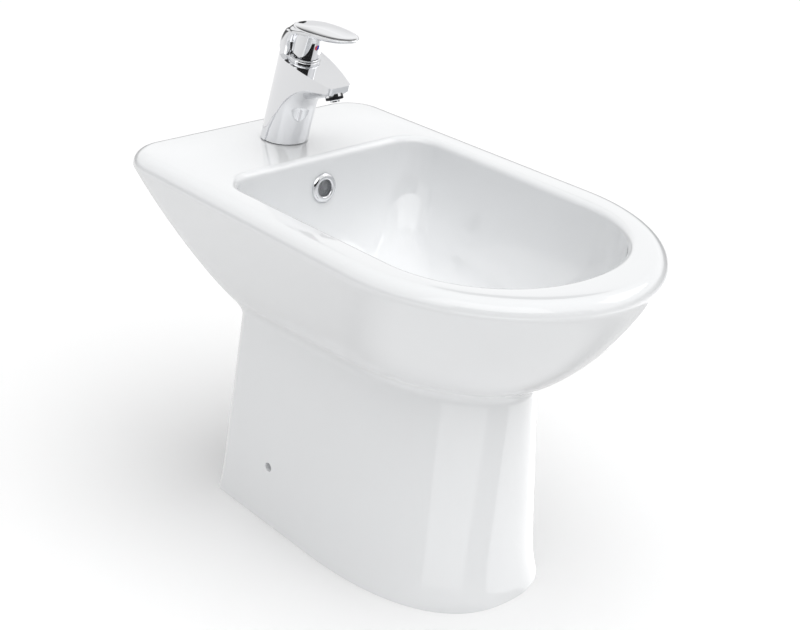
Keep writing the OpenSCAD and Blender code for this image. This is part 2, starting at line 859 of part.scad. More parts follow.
ball_h = -3;
ball_r = 6.8;
seat_r = 8;
seat_top = 2.5;
collar_low = -6.5;
collar_r = 9.6;
collar_open_r = 6.15;
tube_out_r = 5;
nozzle_bore_r = 3.5;
tube_low = -9.2;
screen_r = 4.1;
knurls = 24;

module nozzle_collar() {
    concave = ball_r + 0.15;
    color(chrome)
        in_nozzle()
            difference() {
                turned(concat(
                    arc(concave, ball_h, -acos(collar_open_r / concave), -1, 6),
                    [[seat_r + fit, ball_h - fit], [seat_r + fit, 3],
                        [nozzle_socket_r - fit, 3], [nozzle_socket_r - fit, collar_face],
                        [collar_r, collar_face], [collar_r, collar_low + 0.6],
                        [collar_r - 0.6, collar_low]]));
                for (i = [0:knurls - 1])
                    rotate([0, 0, 360 * i / knurls])
                        translate([collar_r + 0.25, 0, 0])
                            post(0.6, collar_low - 1, collar_face - 0.4, 16);
            }
}

module nozzle_washer() {
    color(rubber) in_nozzle() ring(seat_r, nozzle_bore_r + 1, seat_top + gap, 4.8);
}

module nozzle_seat_ring() {
    concave = ball_r + 0.12;
    color("whitesmoke")
        in_nozzle()
            turned(concat(
                [[seat_r, ball_h], [seat_r, seat_top]],
                arc(concave, ball_h, asin((seat_top - ball_h) / concave), 0, 8)));
}

module nozzle_ball() {
    color(chrome)
        in_nozzle()
            difference() {
                union() {
                    translate([0, 0, ball_h]) sphere(r = ball_r, $fn = 64);
                    post(tube_out_r, tube_low, ball_h, 64);
                }
                post(nozzle_bore_r, tube_low - 1, 10, 64);
                post(screen_r + fit / 2, tube_low - 1, tube_low + 1.6, 64);
            }
}

module aerator_screen() {
    color("whitesmoke")
        in_nozzle()
            difference() {
                post(screen_r, tube_low + 0.4, tube_low + 1.4, 64);
                for (a = [0:60:300])
                    rotate([0, 0, a]) translate([2.4, 0, 0]) post(0.8, tube_low - 1, -10, 16);
                post(0.8, tube_low - 1, -10, 16);
            }
}

// ---------------------------------------------------------------- waste

flange_low = recess_h + 1.5;
flange_high = flange_low + 3;
tube_bore_r = 17;
tube_low_h = 196;
guide_low = 214;
guide_high = 236;
guide_r = 6.5;
plug_stem_r = 3.5;
plug_low = flange_high + 0.5;
plug_r = flange_r - 2;
plug_seal_r = 18;
plug_seal_wire = 1.4;
plug_seal_h = flange_high - 0.3;
boss_bottom = plug_low - 6;
spring_r = 5.4;
spring_wire = 0.7;
spring_turns = 6;
spring_steps = 20;
seal_low = boss_low_h - 7;
thread_gap = fit;

module at_waste() {
    translate([0, waste_y, 0]) children();
}

module waste_body() {
    color(chrome)
        at_waste()
            difference() {
                turned([[tube_bore_r, tube_low_h], [tube_r, tube_low_h], [tube_r, flange_low],
                    [flange_r, flange_low], [flange_r, flange_high - 1],
                    [flange_r - 1, flange_high], [tube_bore_r + 3.5, flange_high],
                    [tube_bore_r, flange_high - 3.5]]);
                translate([-6, -40, 232]) cube([12, 80, 13]);
            }
}

module waste_top_seal() {
    color(rubber) at_waste() ring(flange_r - 1, tube_r + 0.4, recess_h, flange_low);
}

module waste_lower_seal() {
    color(rubber) at_waste() ring(30, tube_r + 0.2, seal_low, boss_low_h);
}

module waste_washer() {
    color("whitesmoke") at_waste() ring(32, tube_r + 0.2, seal_low - 2, seal_low);
}

module waste_backnut() {
    color(chrome)
        at_waste()
            difference() {
                post(34, seal_low - 12, seal_low - 2, 6);
                post(tube_r + thread_gap, seal_low - 13, seal_low - 1, round_fn);
            }
}

// A ring with three arms that carries the stem's guide in the middle of the tube.
module click_guide() {
    color("whitesmoke")
        at_waste()
            difference() {
                union() {
                    ring(tube_bore_r - fit, tube_bore_r - 1.8, guide_low + 8, guide_low + 12);
                    post(guide_r, guide_low, guide_high, 64);
                    for (a = [90, 210, 330])
                        rotate([0, 0, a])
                            translate([guide_r - 1, -1.5, guide_low + 8])
                                cube([tube_bore_r - guide_r - 0.5, 3, 4]);
                }
                post(plug_stem_r + fit, guide_low - 1, guide_high + 1, 64);
            }
}

// The wire's ring at a share k of the spring's length.
function spring_ring(k) =
    let (a = 360 * spring_turns * k,
        z = mix(guide_high + spring_wire + gap, boss_bottom - spring_wire - gap, k))
    [for (i = [0:7]) let (b = 45 * i, r = spring_r + spring_wire * cos(b))
        [r * cos(a), r * sin(a), z + spring_wire * sin(b)]];

module click_spring() {
    color("silver")
        at_waste()
            loft([for (i = [0:spring_turns * spring_steps])
                spring_ring(i / (spring_turns * spring_steps))]);
}

module plug_stem() {
    color(chrome) at_waste() post(plug_stem_r, guide_low - 8, plug_low - 1, 64);
}

module plug_cap() {
    color(chrome)
        at_waste()
            difference() {
                turned([[0, boss_bottom], [6, boss_bottom], [6, plug_low], [plug_r, plug_low],
                    [plug_r, plug_low + 1.8], [plug_r - 0.7, plug_low + 2.8],
                    [plug_r - 3, plug_low + 3.6], [plug_r - 9, plug_low + 4.4],
                    [plug_r - 18, plug_low + 4.9], [0, plug_low + 5.1]]);
                post(plug_stem_r + fit / 2, boss_bottom - 1, plug_low - 0.5, 64);
                rotate_extrude($fn = round_fn)
                    translate([plug_seal_r, plug_seal_h])
                        circle(r = plug_seal_wire + fit / 2, $fn = 32);
            }
}

module plug_seal() {
    color(rubber)
        at_waste()
            rotate_extrude($fn = round_fn)
                translate([plug_seal_r, plug_seal_h]) circle(r = plug_seal_wire, $fn = 32);
}

// ---------------------------------------------------------------- trap

pipe_wall = 1.7;
pipe_bore_r = pipe_r - pipe_wall;
washer_gap = fit;
inlet_pipe_low = 110;
inlet_flange_low = tube_low_h - 5;
inlet_flange_high = tube_low_h - 2.5;
bottle_low = 92;
bottle_high = 160;
bottle_wall = 3;
collar_out_r = 21;
collar_len = 10;
ring_h = 3;
cup_low = 56;
cup_wall = 3;
branch_start = 27;
bead_back = 78;
bead_h = 0.8;
branch_end = bottle_r + 13;

module trap_inlet_pipe() {
    color("whitesmoke")
        at_waste()
            turned([[pipe_bore_r, inlet_pipe_low], [pipe_r, inlet_pipe_low],
                [pipe_r, inlet_flange_low], [tube_r - 0.8, inlet_flange_low],
                [tube_r - 0.8, inlet_flange_high], [pipe_bore_r, inlet_flange_high]]);
}

module trap_inlet_washer() {
    color(rubber) at_waste() ring(tube_r - 0.3, pipe_r + 0.2, inlet_flange_high, tube_low_h);
}

// A ring nut with six grip lobes: threaded bore above, lip below.
module ring_nut(r_out, r_thread, r_lip, z0, z_lip, z1) {
    difference() {
        turned([[r_lip, z0], [r_out - 1, z0], [r_out, z0 + 1], [r_out, z1],
            [r_thread, z1], [r_thread, z_lip], [r_lip, z_lip]]);
        for (a = [0:30:330])
            rotate([0, 0, a]) translate([r_out + 1.6, 0, 0]) post(2.6, z0 - 1, z1 - 3, 24);
    }
}

module trap_inlet_nut() {
    color(chrome)
        at_waste()
            ring_nut(26, tube_r + thread_gap, pipe_r + gap, inlet_flange_low - 7,
                inlet_flange_low - fit, tube_low_h + 8);
}

module trap_body() {
    color(chrome)
        at_waste()
            difference() {
                union() {
                    turned([[0, bottle_low], [bottle_r, bottle_low],
                        [bottle_r, bottle_high - 3], [bottle_r - 3, bottle_high],
                        [collar_out_r, bottle_high], [collar_out_r, bottle_high + collar_len],
                        [0, bottle_high + collar_len]]);
                    rod([0, branch_start, outlet_h], [0, branch_end, outlet_h], collar_out_r);
                }
                post(bottle_r - bottle_wall, bottle_low - 1, bottle_high - bottle_wall,
                    round_fn);
                post(pipe_r + gap, bottle_low, bottle_high + 20, round_fn);
                rod([0, 0, outlet_h], [0, branch_end + 1, outlet_h], pipe_r + gap);
            }
}

module trap_neck_washer() {
    z = bottle_high + collar_len;
    color(rubber) at_waste() ring(collar_out_r - 0.5, pipe_r + washer_gap, z, z + ring_h);
}

module trap_neck_nut() {
    z = bottle_high + collar_len + ring_h;
    color(chrome)
        at_waste()
            mirror([0, 0, 1])
                ring_nut(25, collar_out_r + thread_gap, pipe_r + gap, -z - 5, -z,
                    -bottle_high - 2);
}

module trap_cup_seal() {
    color(rubber)
        at_waste() ring(bottle_r, bottle_r - bottle_wall - 0.5, bottle_low - 2, bottle_low);
}

module trap_cup() {
    in_r = bottle_r - bottle_wall - 0.5;
    out_r = bottle_r + cup_wall + 0.5;
    color(chrome)
        at_waste()
            difference() {
                turned([[0, cup_low], [in_r - 8, cup_low], [in_r + 1, cup_low + 5],
                    [out_r, cup_low + 16], [out_r, bottle_low + 12],
                    [bottle_r + thread_gap, bottle_low + 12],
                    [bottle_r + thread_gap, bottle_low - 2], [in_r, bottle_low - 2],
                    [in_r, cup_low + 16], [in_r - 9, cup_low + cup_wall],
                    [0, cup_low + cup_wall]]);
                for (a = [0:30:330])
                    rotate([0, 0, a])
                        translate([out_r + 1.6, 0, 0]) post(2.6, cup_low, bottle_low + 8, 24);
            }
}

// Parts about the outlet's own axis, with Z along the pipe towards the wall.
module at_outlet() {
    translate([0, waste_y, outlet_h]) rotate([-90, 0, 0]) children();
}

module trap_outlet_washer() {
    color(rubber)
        at_outlet()
            ring(collar_out_r - 0.5, pipe_r + washer_gap, branch_end, branch_end + ring_h);
}

module trap_outlet_nut() {
    z = branch_end + ring_h;
    color(chrome)
        at_outlet()
            mirror([0, 0, 1])
                ring_nut(25, collar_out_r + thread_gap, pipe_r + gap, -z - 5, -z,
                    -bottle_r - 2);
}

// A rolled bead near the wall end stops the wall's own sleeve.
module trap_outlet_pipe() {
    low = bottle_r + 1;
    high = outlet_end_y - waste_y;
    color(chrome)
        at_outlet()
            turned([[pipe_bore_r, low], [pipe_r, low], [pipe_r, high - bead_back - 2],
                [pipe_r + bead_h, high - bead_back - 1.5],
                [pipe_r + bead_h, high - bead_back - 0.5], [pipe_r, high - bead_back],
                [pipe_r, high], [pipe_bore_r, high]]);
}

ceramic_pedestal();
ceramic_bowl();
ceramic_deck();
overflow_ring();
tap_body();
tap_base_seal();
fixing_stud();
fixing_rubber_washer();
fixing_plate();
fixing_nut();
cartridge_seal();
cartridge_housing();
fixed_disc();
moving_disc();
cartridge_carrier();
pivot_pin();
lever_stem();
cartridge_nut();
shroud_ring();
lever_handle();
grub_screw();
index_red();
index_blue();
nozzle_collar();
nozzle_washer();
nozzle_seat_ring();
nozzle_ball();
aerator_screen();
waste_body();
waste_top_seal();
waste_lower_seal();
waste_washer();
waste_backnut();
click_guide();
click_spring();
plug_stem();
plug_cap();
plug_seal();
trap_inlet_pipe();
trap_inlet_washer();
trap_inlet_nut();
trap_neck_washer();
trap_neck_nut();
trap_body();
trap_cup_seal();
trap_cup();
trap_outlet_washer();
trap_outlet_nut();
trap_outlet_pipe();
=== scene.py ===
"""Looks of a floor standing bidet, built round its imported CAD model.

Everything is in the CAD model's frame. Sizes are in millimetres in the classes and are turned
into metres where a mesh is made. The front faces -Y and the floor is z = 0.
"""

import json
import logging
from collections.abc import Sequence
from dataclasses import dataclass, field, replace
from enum import Enum
from math import acos, asin, copysign, cos, degrees, pi, radians, sin, tan, tau

import bmesh
import bpy
from mathutils import Euler, Matrix, Vector

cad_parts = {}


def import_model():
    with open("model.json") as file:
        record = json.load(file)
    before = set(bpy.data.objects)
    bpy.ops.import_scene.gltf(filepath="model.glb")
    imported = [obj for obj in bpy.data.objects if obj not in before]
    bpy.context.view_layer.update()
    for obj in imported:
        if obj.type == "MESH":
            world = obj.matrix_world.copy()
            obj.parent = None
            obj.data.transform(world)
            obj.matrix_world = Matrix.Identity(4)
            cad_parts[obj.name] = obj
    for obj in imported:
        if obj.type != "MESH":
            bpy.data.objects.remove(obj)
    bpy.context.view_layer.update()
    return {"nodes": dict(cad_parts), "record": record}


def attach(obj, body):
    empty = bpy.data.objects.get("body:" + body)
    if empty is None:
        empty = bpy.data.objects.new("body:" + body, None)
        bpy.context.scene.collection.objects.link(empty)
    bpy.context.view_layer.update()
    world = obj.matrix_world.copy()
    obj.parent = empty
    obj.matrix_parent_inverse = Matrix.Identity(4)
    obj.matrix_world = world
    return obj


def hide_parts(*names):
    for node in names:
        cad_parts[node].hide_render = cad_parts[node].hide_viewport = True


LOG = logging.getLogger("bidet")
MM = 0.001
Flat = tuple[float, float]
Point = tuple[float, float, float]
Ring = list[Point]
Socket = bpy.types.NodeSocket


class Carried(Enum):
    """The rigid bodies that carry the pieces made here."""

    BIDET = "bidet"
    LEVER = "lever"
    NOZZLE = "nozzle"


class Cut(Enum):
    """How one solid changes another."""

    SHARED = "INTERSECT"
    JOIN = "UNION"
    AWAY = "DIFFERENCE"


@dataclass(frozen=True)
class Wiring:
    """Adds nodes to a tree and feeds their inputs."""

    tree: bpy.types.NodeTree

    def feed(self, socket: Socket, value: object) -> None:
        """Feeds an input.

        Args:
            socket: The input.
            value: Its constant, or the socket to link to it.
        """
        if isinstance(value, bpy.types.NodeSocket):
            self.tree.links.new(value, socket)
        else:
            socket.default_value = value

    def node(self, kind: str, inputs: dict[str | int, object] | None = None) -> bpy.types.Node:
        """Adds a node.

        Args:
            kind: Its type.
            inputs: What feeds its inputs, by their names or places.

        Returns:
            The node.
        """
        made = self.tree.nodes.new(kind)
        for name, value in (inputs or {}).items():
            self.feed(made.inputs[name], value)
        return made

    def sum(self, kind: str, *values: object) -> Socket:
        """Adds one operation on numbers.

        Args:
            kind: The operation.
            values: What goes in, in order.

        Returns:
            The result.
        """
        made = self.node("ShaderNodeMath", dict(enumerate(values)))
        made.operation = kind
        return made.outputs["Value"]

    def mix(self, share: Socket, first: Socket, second: object) -> Socket:
        """Mixes one colour into another.

        Args:
            share: The second colour's share.
            first: The first colour.
            second: The second colour.

        Returns:
            The mixed colour.
        """
        made = self.node("ShaderNodeMix")
        made.data_type = "RGBA"
        for name, value in (("Factor", share), ("A", first), ("B", second)):
            self.feed(made.inputs[name], value)
        return made.outputs["Result"]


# --- finishes


@dataclass(frozen=True)
class Finish:
    """A procedural surface with fine unevenness read in Object coordinates."""

    name: str
    colour: Point
    roughness: float
    metallic: float = 0.0
    coat: float = 0.0
    coat_roughness: float = 0.03
    roughness_spread: float = 0.02
    speck_scale: float = 90.0
    speck_detail: float = 5.0
    bump_scale: float = 60.0
    bump: float = 0.02
    bump_mm: float = 0.1
    tint_spread: float = 0.0
    tint_coarseness: float = 3.0

    def material(self) -> bpy.types.Material:
        """Builds the material, or gives the one already built.

        Returns:
            The material with this finish's name.
        """
        known = bpy.data.materials.get(self.name)
        if known:
            return known
        made = bpy.data.materials.new(self.name)
        made.use_nodes = True
        wire = Wiring(made.node_tree)
        place = wire.node("ShaderNodeTexCoord").outputs["Object"]
        gloss = wire.node("ShaderNodeMapRange", {
            "Value": self._noise(wire, place, self.speck_scale, self.speck_detail),
            "To Min": max(0.0, self.roughness - self.roughness_spread),
            "To Max": self.roughness + self.roughness_spread})
        relief = wire.node("ShaderNodeBump", {
            "Strength": self.bump, "Distance": self.bump_mm * MM,
            "Height": self._noise(wire, place, self.bump_scale)})
        looks = {"Base Color": (*self.colour, 1.0), "Metallic": self.metallic,
                 "Coat Weight": self.coat, "Coat Roughness": self.coat_roughness,
                 "Roughness": gloss.outputs["Result"], "Normal": relief.outputs["Normal"]}
        if self.tint_spread:
            ramp = wire.node("ShaderNodeValToRGB", {
                "Fac": self._noise(wire, place, self.speck_scale / self.tint_coarseness)})
            gains = (1 - self.tint_spread, 1 + self.tint_spread)
            for stop, gain in zip(ramp.color_ramp.elements, gains):
                stop.color = (*(min(1.0, c * gain) for c in self.colour), 1.0)
            looks["Base Color"] = ramp.outputs["Color"]
        shader = made.node_tree.nodes["Principled BSDF"]
        for name, value in looks.items():
            wire.feed(shader.inputs[name], value)
        return made

    def _noise(self, wire: Wiring, place: Socket, scale: float, detail: float = 2.0) -> Socket:
        """Noise of a scale and a detail over the surface, read at Object coordinates."""
        return wire.node("ShaderNodeTexNoise", {
            "Vector": place, "Scale": scale, "Detail": detail}).outputs["Fac"]


GLAZE = Finish("white_glaze", (0.82, 0.83, 0.84), 0.07, coat=0.6, roughness_spread=0.015,
               speck_scale=40.0, bump_scale=9.0, bump=0.12, bump_mm=0.6)
CHROME = Finish("polished_chrome", (0.79, 0.795, 0.81), 0.05, metallic=1.0,
                roughness_spread=0.015, bump_scale=45.0, bump=0.03, bump_mm=0.05)
DARK_CHROME = Finish("knurled_chrome", (0.05, 0.05, 0.055), 0.3, metallic=1.0,
                     roughness_spread=0.05, bump_scale=400.0, bump=0.1)
ZINC = Finish("zinc_plate", (0.62, 0.62, 0.60), 0.32, metallic=1.0, roughness_spread=0.08,
              speck_scale=300.0, bump_scale=500.0, bump=0.15, tint_spread=0.08)
BRASS = Finish("turned_brass", (0.74, 0.56, 0.26), 0.25, metallic=1.0, roughness_spread=0.06,
               speck_scale=250.0, bump_scale=600.0, bump=0.12, tint_spread=0.06)
RUBBER = Finish("black_rubber", (0.02, 0.02, 0.02), 0.6, roughness_spread=0.1,
                speck_scale=350.0, bump_scale=700.0, bump=0.2)
PLASTIC = Finish("white_plastic", (0.78, 0.78, 0.75), 0.35, roughness_spread=0.05,
                 speck_scale=200.0, bump_scale=350.0, bump=0.08)
LAPPED = Finish("lapped_ceramic", (0.82, 0.79, 0.70), 0.15, roughness_spread=0.03,
                speck_scale=300.0, bump_scale=500.0, bump=0.03, tint_spread=0.04)
RED = Finish("red_index", (0.75, 0.01, 0.02), 0.2, coat=0.5, bump=0.01)
BLUE = Finish("blue_index", (0.01, 0.06, 0.55), 0.2, coat=0.5, bump=0.01)
PALE_FLOOR = Finish("pale_floor", (0.95, 0.95, 0.95), 0.7, bump=0.0)

FINISH_OF = {"chrome": CHROME, "rubber": RUBBER, "steel": ZINC, "brass": BRASS,
             "plastic": PLASTIC, "disc_ceramic": LAPPED, "red_plastic": RED, "blue_plastic": BLUE}


# --- solids


@dataclass
class Solid:
    """A closed mesh in millimetres, as points and faces."""

    points: list[Point] = field(default_factory=list)
    faces: list[tuple[int, ...]] = field(default_factory=list)

    def placed(self, matrix: Matrix) -> "Solid":
        """The solid moved by a matrix in millimetres."""
        return Solid([tuple(matrix @ Vector(p)) for p in self.points], self.faces)

    def mesh(self, name: str) -> bpy.types.Mesh:
        """Makes the mesh in metres with its faces outwards.

        Args:
            name: The mesh's name.

        Returns:
            The mesh.
        """
        made = bpy.data.meshes.new(name)
        made.from_pydata([tuple(c * MM for c in p) for p in self.points], [], self.faces)
        work = bmesh.new()
        work.from_mesh(made)
        bmesh.ops.remove_doubles(work, verts=work.verts, dist=1e-7)
        bmesh.ops.recalc_face_normals(work, faces=work.faces)
        work.to_mesh(made)
        work.free()
        return made


def loft(rings: Sequence[Ring]) -> Solid:
    """Closes a stack of rings with equal counts of points.

    Args:
        rings: The rings in order.

    Returns:
        The closed solid.
    """
    n, last = len(rings[0]), len(rings) - 1
    points = [p for ring in rings for p in ring]
    faces = [(j * n + i, j * n + (i + 1) % n, (j + 1) * n + (i + 1) % n, (j + 1) * n + i)
             for j in range(last) for i in range(n)]
    faces += [tuple(range(n)), tuple(last * n + i for i in range(n))]
    return Solid(points, faces)


def circle(radius: float, height: float, steps: int) -> Ring:
    """A level circle of some points about Z."""
    return [(radius * cos(tau * i / steps), radius * sin(tau * i / steps), height)
            for i in range(steps)]


def post(radius: float, low: float, high: float, steps: int = 96) -> Solid:
    """A round post about Z between two heights."""
    return loft([circle(radius, low, steps), circle(radius, high, steps)])


def rod(a: Point, b: Point, radius: float, steps: int = 48) -> Solid:
    """A round rod between two points.

    Args:
        a: One end.
        b: The other end.
        radius: The radius.
        steps: The count of sides.

    Returns:
        The solid.
    """
    run = Vector(b) - Vector(a)
    turn = run.to_track_quat("Z", "Y").to_matrix().to_4x4()
    return post(radius, 0.0, run.length, steps).placed(Matrix.Translation(a) @ turn)


def across(outline: Sequence[Flat], low: float, high: float) -> Solid:
    """Extrudes a (y, z) outline along X between two places."""
    return loft([[(x, y, z) for y, z in outline] for x in (low, high)])


def block(low: Point, high: Point) -> Solid:
    """A box between its lowest and its highest corner."""
    ring = [(low[1], low[2]), (high[1], low[2]), (high[1], high[2]), (low[1], high[2])]
    return across(ring, low[0], high[0])


def turned(profile: Sequence[Flat], steps: int = 128) -> Solid:
    """Turns a closed (radius, height) profile about Z.

    Args:
        profile: The profile, whose points may lie on the axis.
        steps: The count of steps round.

    Returns:
        The solid.
    """
    m = len(profile)
    points, faces = [], []
    for i in range(steps):
        a = tau * i / steps
        points += [(r * cos(a), r * sin(a), z) for r, z in profile]
    for i in range(steps):
        for j in range(m):
            k, nxt, other = i * m, (i + 1) % steps * m, (j + 1) % m
            if max(profile[j][0], profile[other][0]) >= 1e-6:
                faces.append((k + j, nxt + j, nxt + other, k + other))
    return Solid(points, faces)


def ball(radius: float, height: float, steps: int = 32) -> Solid:
    """A sphere about Z, with some steps from pole to pole."""
    half = [(radius * sin(pi * i / steps), -radius * cos(pi * i / steps)) for i in range(steps + 1)]
    return turned(half, 3 * steps).placed(Matrix.Translation((0, 0, height)))


def arc(radius: float, centre: float, start: float, end: float, steps: int) -> list[Flat]:
    """Points in (radius, height) of an arc about the axis, between two angles in degrees."""
    angles = [radians(start + (end - start) * i / steps) for i in range(steps + 1)]
    return [(radius * cos(a), centre + radius * sin(a)) for a in angles]


def part_object(name: str, solid: Solid) -> bpy.types.Object:
    """Links an object with the solid's mesh at the origin.

    Args:
        name: The object's name.
        solid: The solid.

    Returns:
        The object.
    """
    made = bpy.data.objects.new(name, solid.mesh(name))
    bpy.context.scene.collection.objects.link(made)
    return made


def solid_of(helper: bpy.types.Object) -> Solid:
    """Turns a helper object back into a solid in millimetres and removes it.

    Args:
        helper: The object.

    Returns:
        The solid.
    """
    made = Solid([tuple(c / MM for c in v.co) for v in helper.data.vertices],
                 [tuple(f.vertices) for f in helper.data.polygons])
    bpy.data.objects.remove(helper)
    return made


def baked(obj: bpy.types.Object) -> None:
    """Turns an object's modifiers into its plain mesh and removes them.

    Args:
        obj: The object.
    """
    bpy.context.view_layer.update()
    shown = obj.evaluated_get(bpy.context.evaluated_depsgraph_get())
    plain = bpy.data.meshes.new_from_object(shown)
    obj.modifiers.clear()
    obj.data = plain
    plain.name = obj.name


def carve(obj: bpy.types.Object, shared: Sequence[Solid] = (), joined: Sequence[Solid] = (),
          away: Sequence[Solid] = ()) -> None:
    """Changes an object by other solids, one after another.

    Args:
        obj: The object.
        shared: Only what lies inside each of these is kept.
        joined: These are joined to it then.
        away: These are cut away last.
    """
    tools = [(how, solid) for how, solids in zip(Cut, (shared, joined, away)) for solid in solids]
    helpers = []
    for i, (how, solid) in enumerate(tools):
        helper = part_object(f"{obj.name}_tool_{i}", solid)
        change = obj.modifiers.new(f"cut_{i}", "BOOLEAN")
        change.operation = how.value
        change.solver = "MANIFOLD"
        change.object = helper
        helpers.append(helper)
    baked(obj)
    for helper in helpers:
        spare = helper.data
        bpy.data.objects.remove(helper)
        bpy.data.meshes.remove(spare)


def soften(obj: bpy.types.Object, width: float, crease: float) -> None:
    """Rounds an object's sharp edges and bakes the result.

    Args:
        obj: The object.
        width: The width of the rounding in millimetres.
        crease: Edges sharper than this many degrees are rounded.
    """
    edge = obj.modifiers.new("soft_edges", "BEVEL")
    edge.width = width * MM
    edge.segments = 2
    edge.limit_method = "ANGLE"
    edge.angle_limit = radians(crease)
    edge.use_clamp_overlap = True
    baked(obj)


def dress(obj: bpy.types.Object, finish: Finish, body: Carried,
          nodes: Sequence[str] = (), crease: float = 32.0, flats: bool = False) -> None:
    """Smooths, paints and attaches a finished piece.

    Args:
        obj: The piece.
        finish: Its finish.
        body: The body that carries it.
        nodes: The CAD nodes it stands for.
        crease: Edges sharper than this many degrees stay sharp.
        flats: Whether large flats keep their normals up to their rounded edges.
    """
    mesh = obj.data
    mesh.materials.clear()
    mesh.materials.append(finish.material())
    mesh.polygons.foreach_set("use_smooth", [True] * len(mesh.polygons))
    mesh.set_sharp_from_angle(angle=radians(crease))
    mesh.update()
    if flats:
        even = obj.modifiers.new("even_normals", "WEIGHTED_NORMAL")
        even.keep_sharp = True
        baked(obj)
    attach(obj, body.value)
    if nodes:
        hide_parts(*nodes)
    LOG.info("%s: %d faces", obj.name, len(obj.data.polygons))


def in_metres(place: Matrix) -> Matrix:
    """Turns a placing matrix in millimetres into one in metres.

    Args:
        place: The matrix in millimetres.

    Returns:
        The matrix in metres.
    """
    made = place.copy()
    made.translation = place.translation * MM
    return made


# --- geometry nodes


class PieceTree:
    """A geometry node tree with named inputs that ends in one painted mesh."""

    name = ""
    inputs: dict[str, str] = {}

    def __init__(self) -> None:
        """Builds the tree round the shape of its kind."""
        self.tree = bpy.data.node_groups.new(self.name, "GeometryNodeTree")
        face = self.tree.interface
        self.sockets = {}
        for label, kind in {**self.inputs, "Base Height": "Float", "Finish": "Material"}.items():
            item = face.new_socket(label, in_out="INPUT", socket_type=f"NodeSocket{kind}")
            self.sockets[label] = item.identifier
        face.new_socket("Geometry", in_out="OUTPUT", socket_type="NodeSocketGeometry")
        self.wire = Wiring(self.tree)
        self.given = self.wire.node("NodeGroupInput").outputs
        real = self.wire.node("GeometryNodeRealizeInstances", {"Geometry": self.shape()})
        paint = self.wire.node("GeometryNodeSetMaterial", {
            "Geometry": real.outputs["Geometry"], "Material": self.given["Finish"]})
        self.wire.node("NodeGroupOutput", {"Geometry": paint.outputs["Geometry"]})

    def shape(self) -> Socket:
        """The shape before its painting, which each kind of tree wires in its own way."""
        raise NotImplementedError

    def raised(self, shape: Socket) -> Socket:
        """A shape lifted to the base height."""
        lift = self.wire.node("ShaderNodeCombineXYZ", {"Z": self.given["Base Height"]})
        return self.wire.node("GeometryNodeTransform", {
            "Geometry": shape, "Translation": lift.outputs["Vector"]}).outputs["Geometry"]

    def piece(self, name: str, finish: Finish, place: Matrix, values: dict[str, float]
              ) -> bpy.types.Object:
        """Makes one piece as a plain mesh.

        Args:
            name: The piece's name.
            finish: Its finish.
            place: Its own frame, in millimetres.
            values: The tree's inputs, with lengths in metres.

        Returns:
            The object, not yet attached to a body.
        """
        made = part_object(name, Solid())
        change = made.modifiers.new("shape", "NODES")
        change.node_group = self.tree
        for label, value in {**values, "Finish": finish.material()}.items():
            change[self.sockets[label]] = value
        baked(made)
        made.data.transform(in_metres(place))
        return made


class RibTree(PieceTree):
    """Upright ribs round a circle."""

    name = "ribs_round_a_circle"
    inputs = {"Count": "Int", "Circle Radius": "Float", "Rib Radius": "Float",
              "Rib Height": "Float"}
    rib_sides = 12

    def shape(self) -> Socket:
        """A rib on every point of the circle.

        Returns:
            The ribs.
        """
        node, given = self.wire.node, self.given
        ring = node("GeometryNodeMeshCircle", {
            "Vertices": given["Count"], "Radius": given["Circle Radius"]})
        rib = node("GeometryNodeMeshCylinder", {
            "Vertices": self.rib_sides, "Radius": given["Rib Radius"],
            "Depth": given["Rib Height"]})
        return node("GeometryNodeInstanceOnPoints", {
            "Points": self.raised(ring.outputs["Mesh"]),
            "Instance": rib.outputs["Mesh"]}).outputs["Instances"]


class CoilTree(PieceTree):
    """A round wire along a spiral."""

    name = "wire_coil"
    inputs = {label: "Float" for label in ("Turns", "Coil Radius", "Coil Height", "Wire Radius")}
    turn_steps = 48
    wire_sides = 16

    def shape(self) -> Socket:
        """The wire's round profile swept along the spiral.

        Returns:
            The coil.
        """
        node, given = self.wire.node, self.given
        spiral = node("GeometryNodeCurveSpiral", {
            "Resolution": self.turn_steps, "Rotations": given["Turns"],
            "Start Radius": given["Coil Radius"], "End Radius": given["Coil Radius"],
            "Height": given["Coil Height"]})
        profile = node("GeometryNodeCurvePrimitiveCircle", {
            "Resolution": self.wire_sides, "Radius": given["Wire Radius"]})
        sweep = node("GeometryNodeCurveToMesh", {
            "Curve": spiral.outputs["Curve"], "Profile Curve": profile.outputs["Curve"],
            "Fill Caps": True})
        return self.raised(sweep.outputs["Mesh"])


# --- china


def mixed(a: float, b: float, k: float) -> float:
    """The value a share k of the way from a to b."""
    return a + (b - a) * k


def signed_pow(v: float, e: float) -> float:
    """A power that keeps its base's sign."""
    return copysign(abs(v) ** e, v)


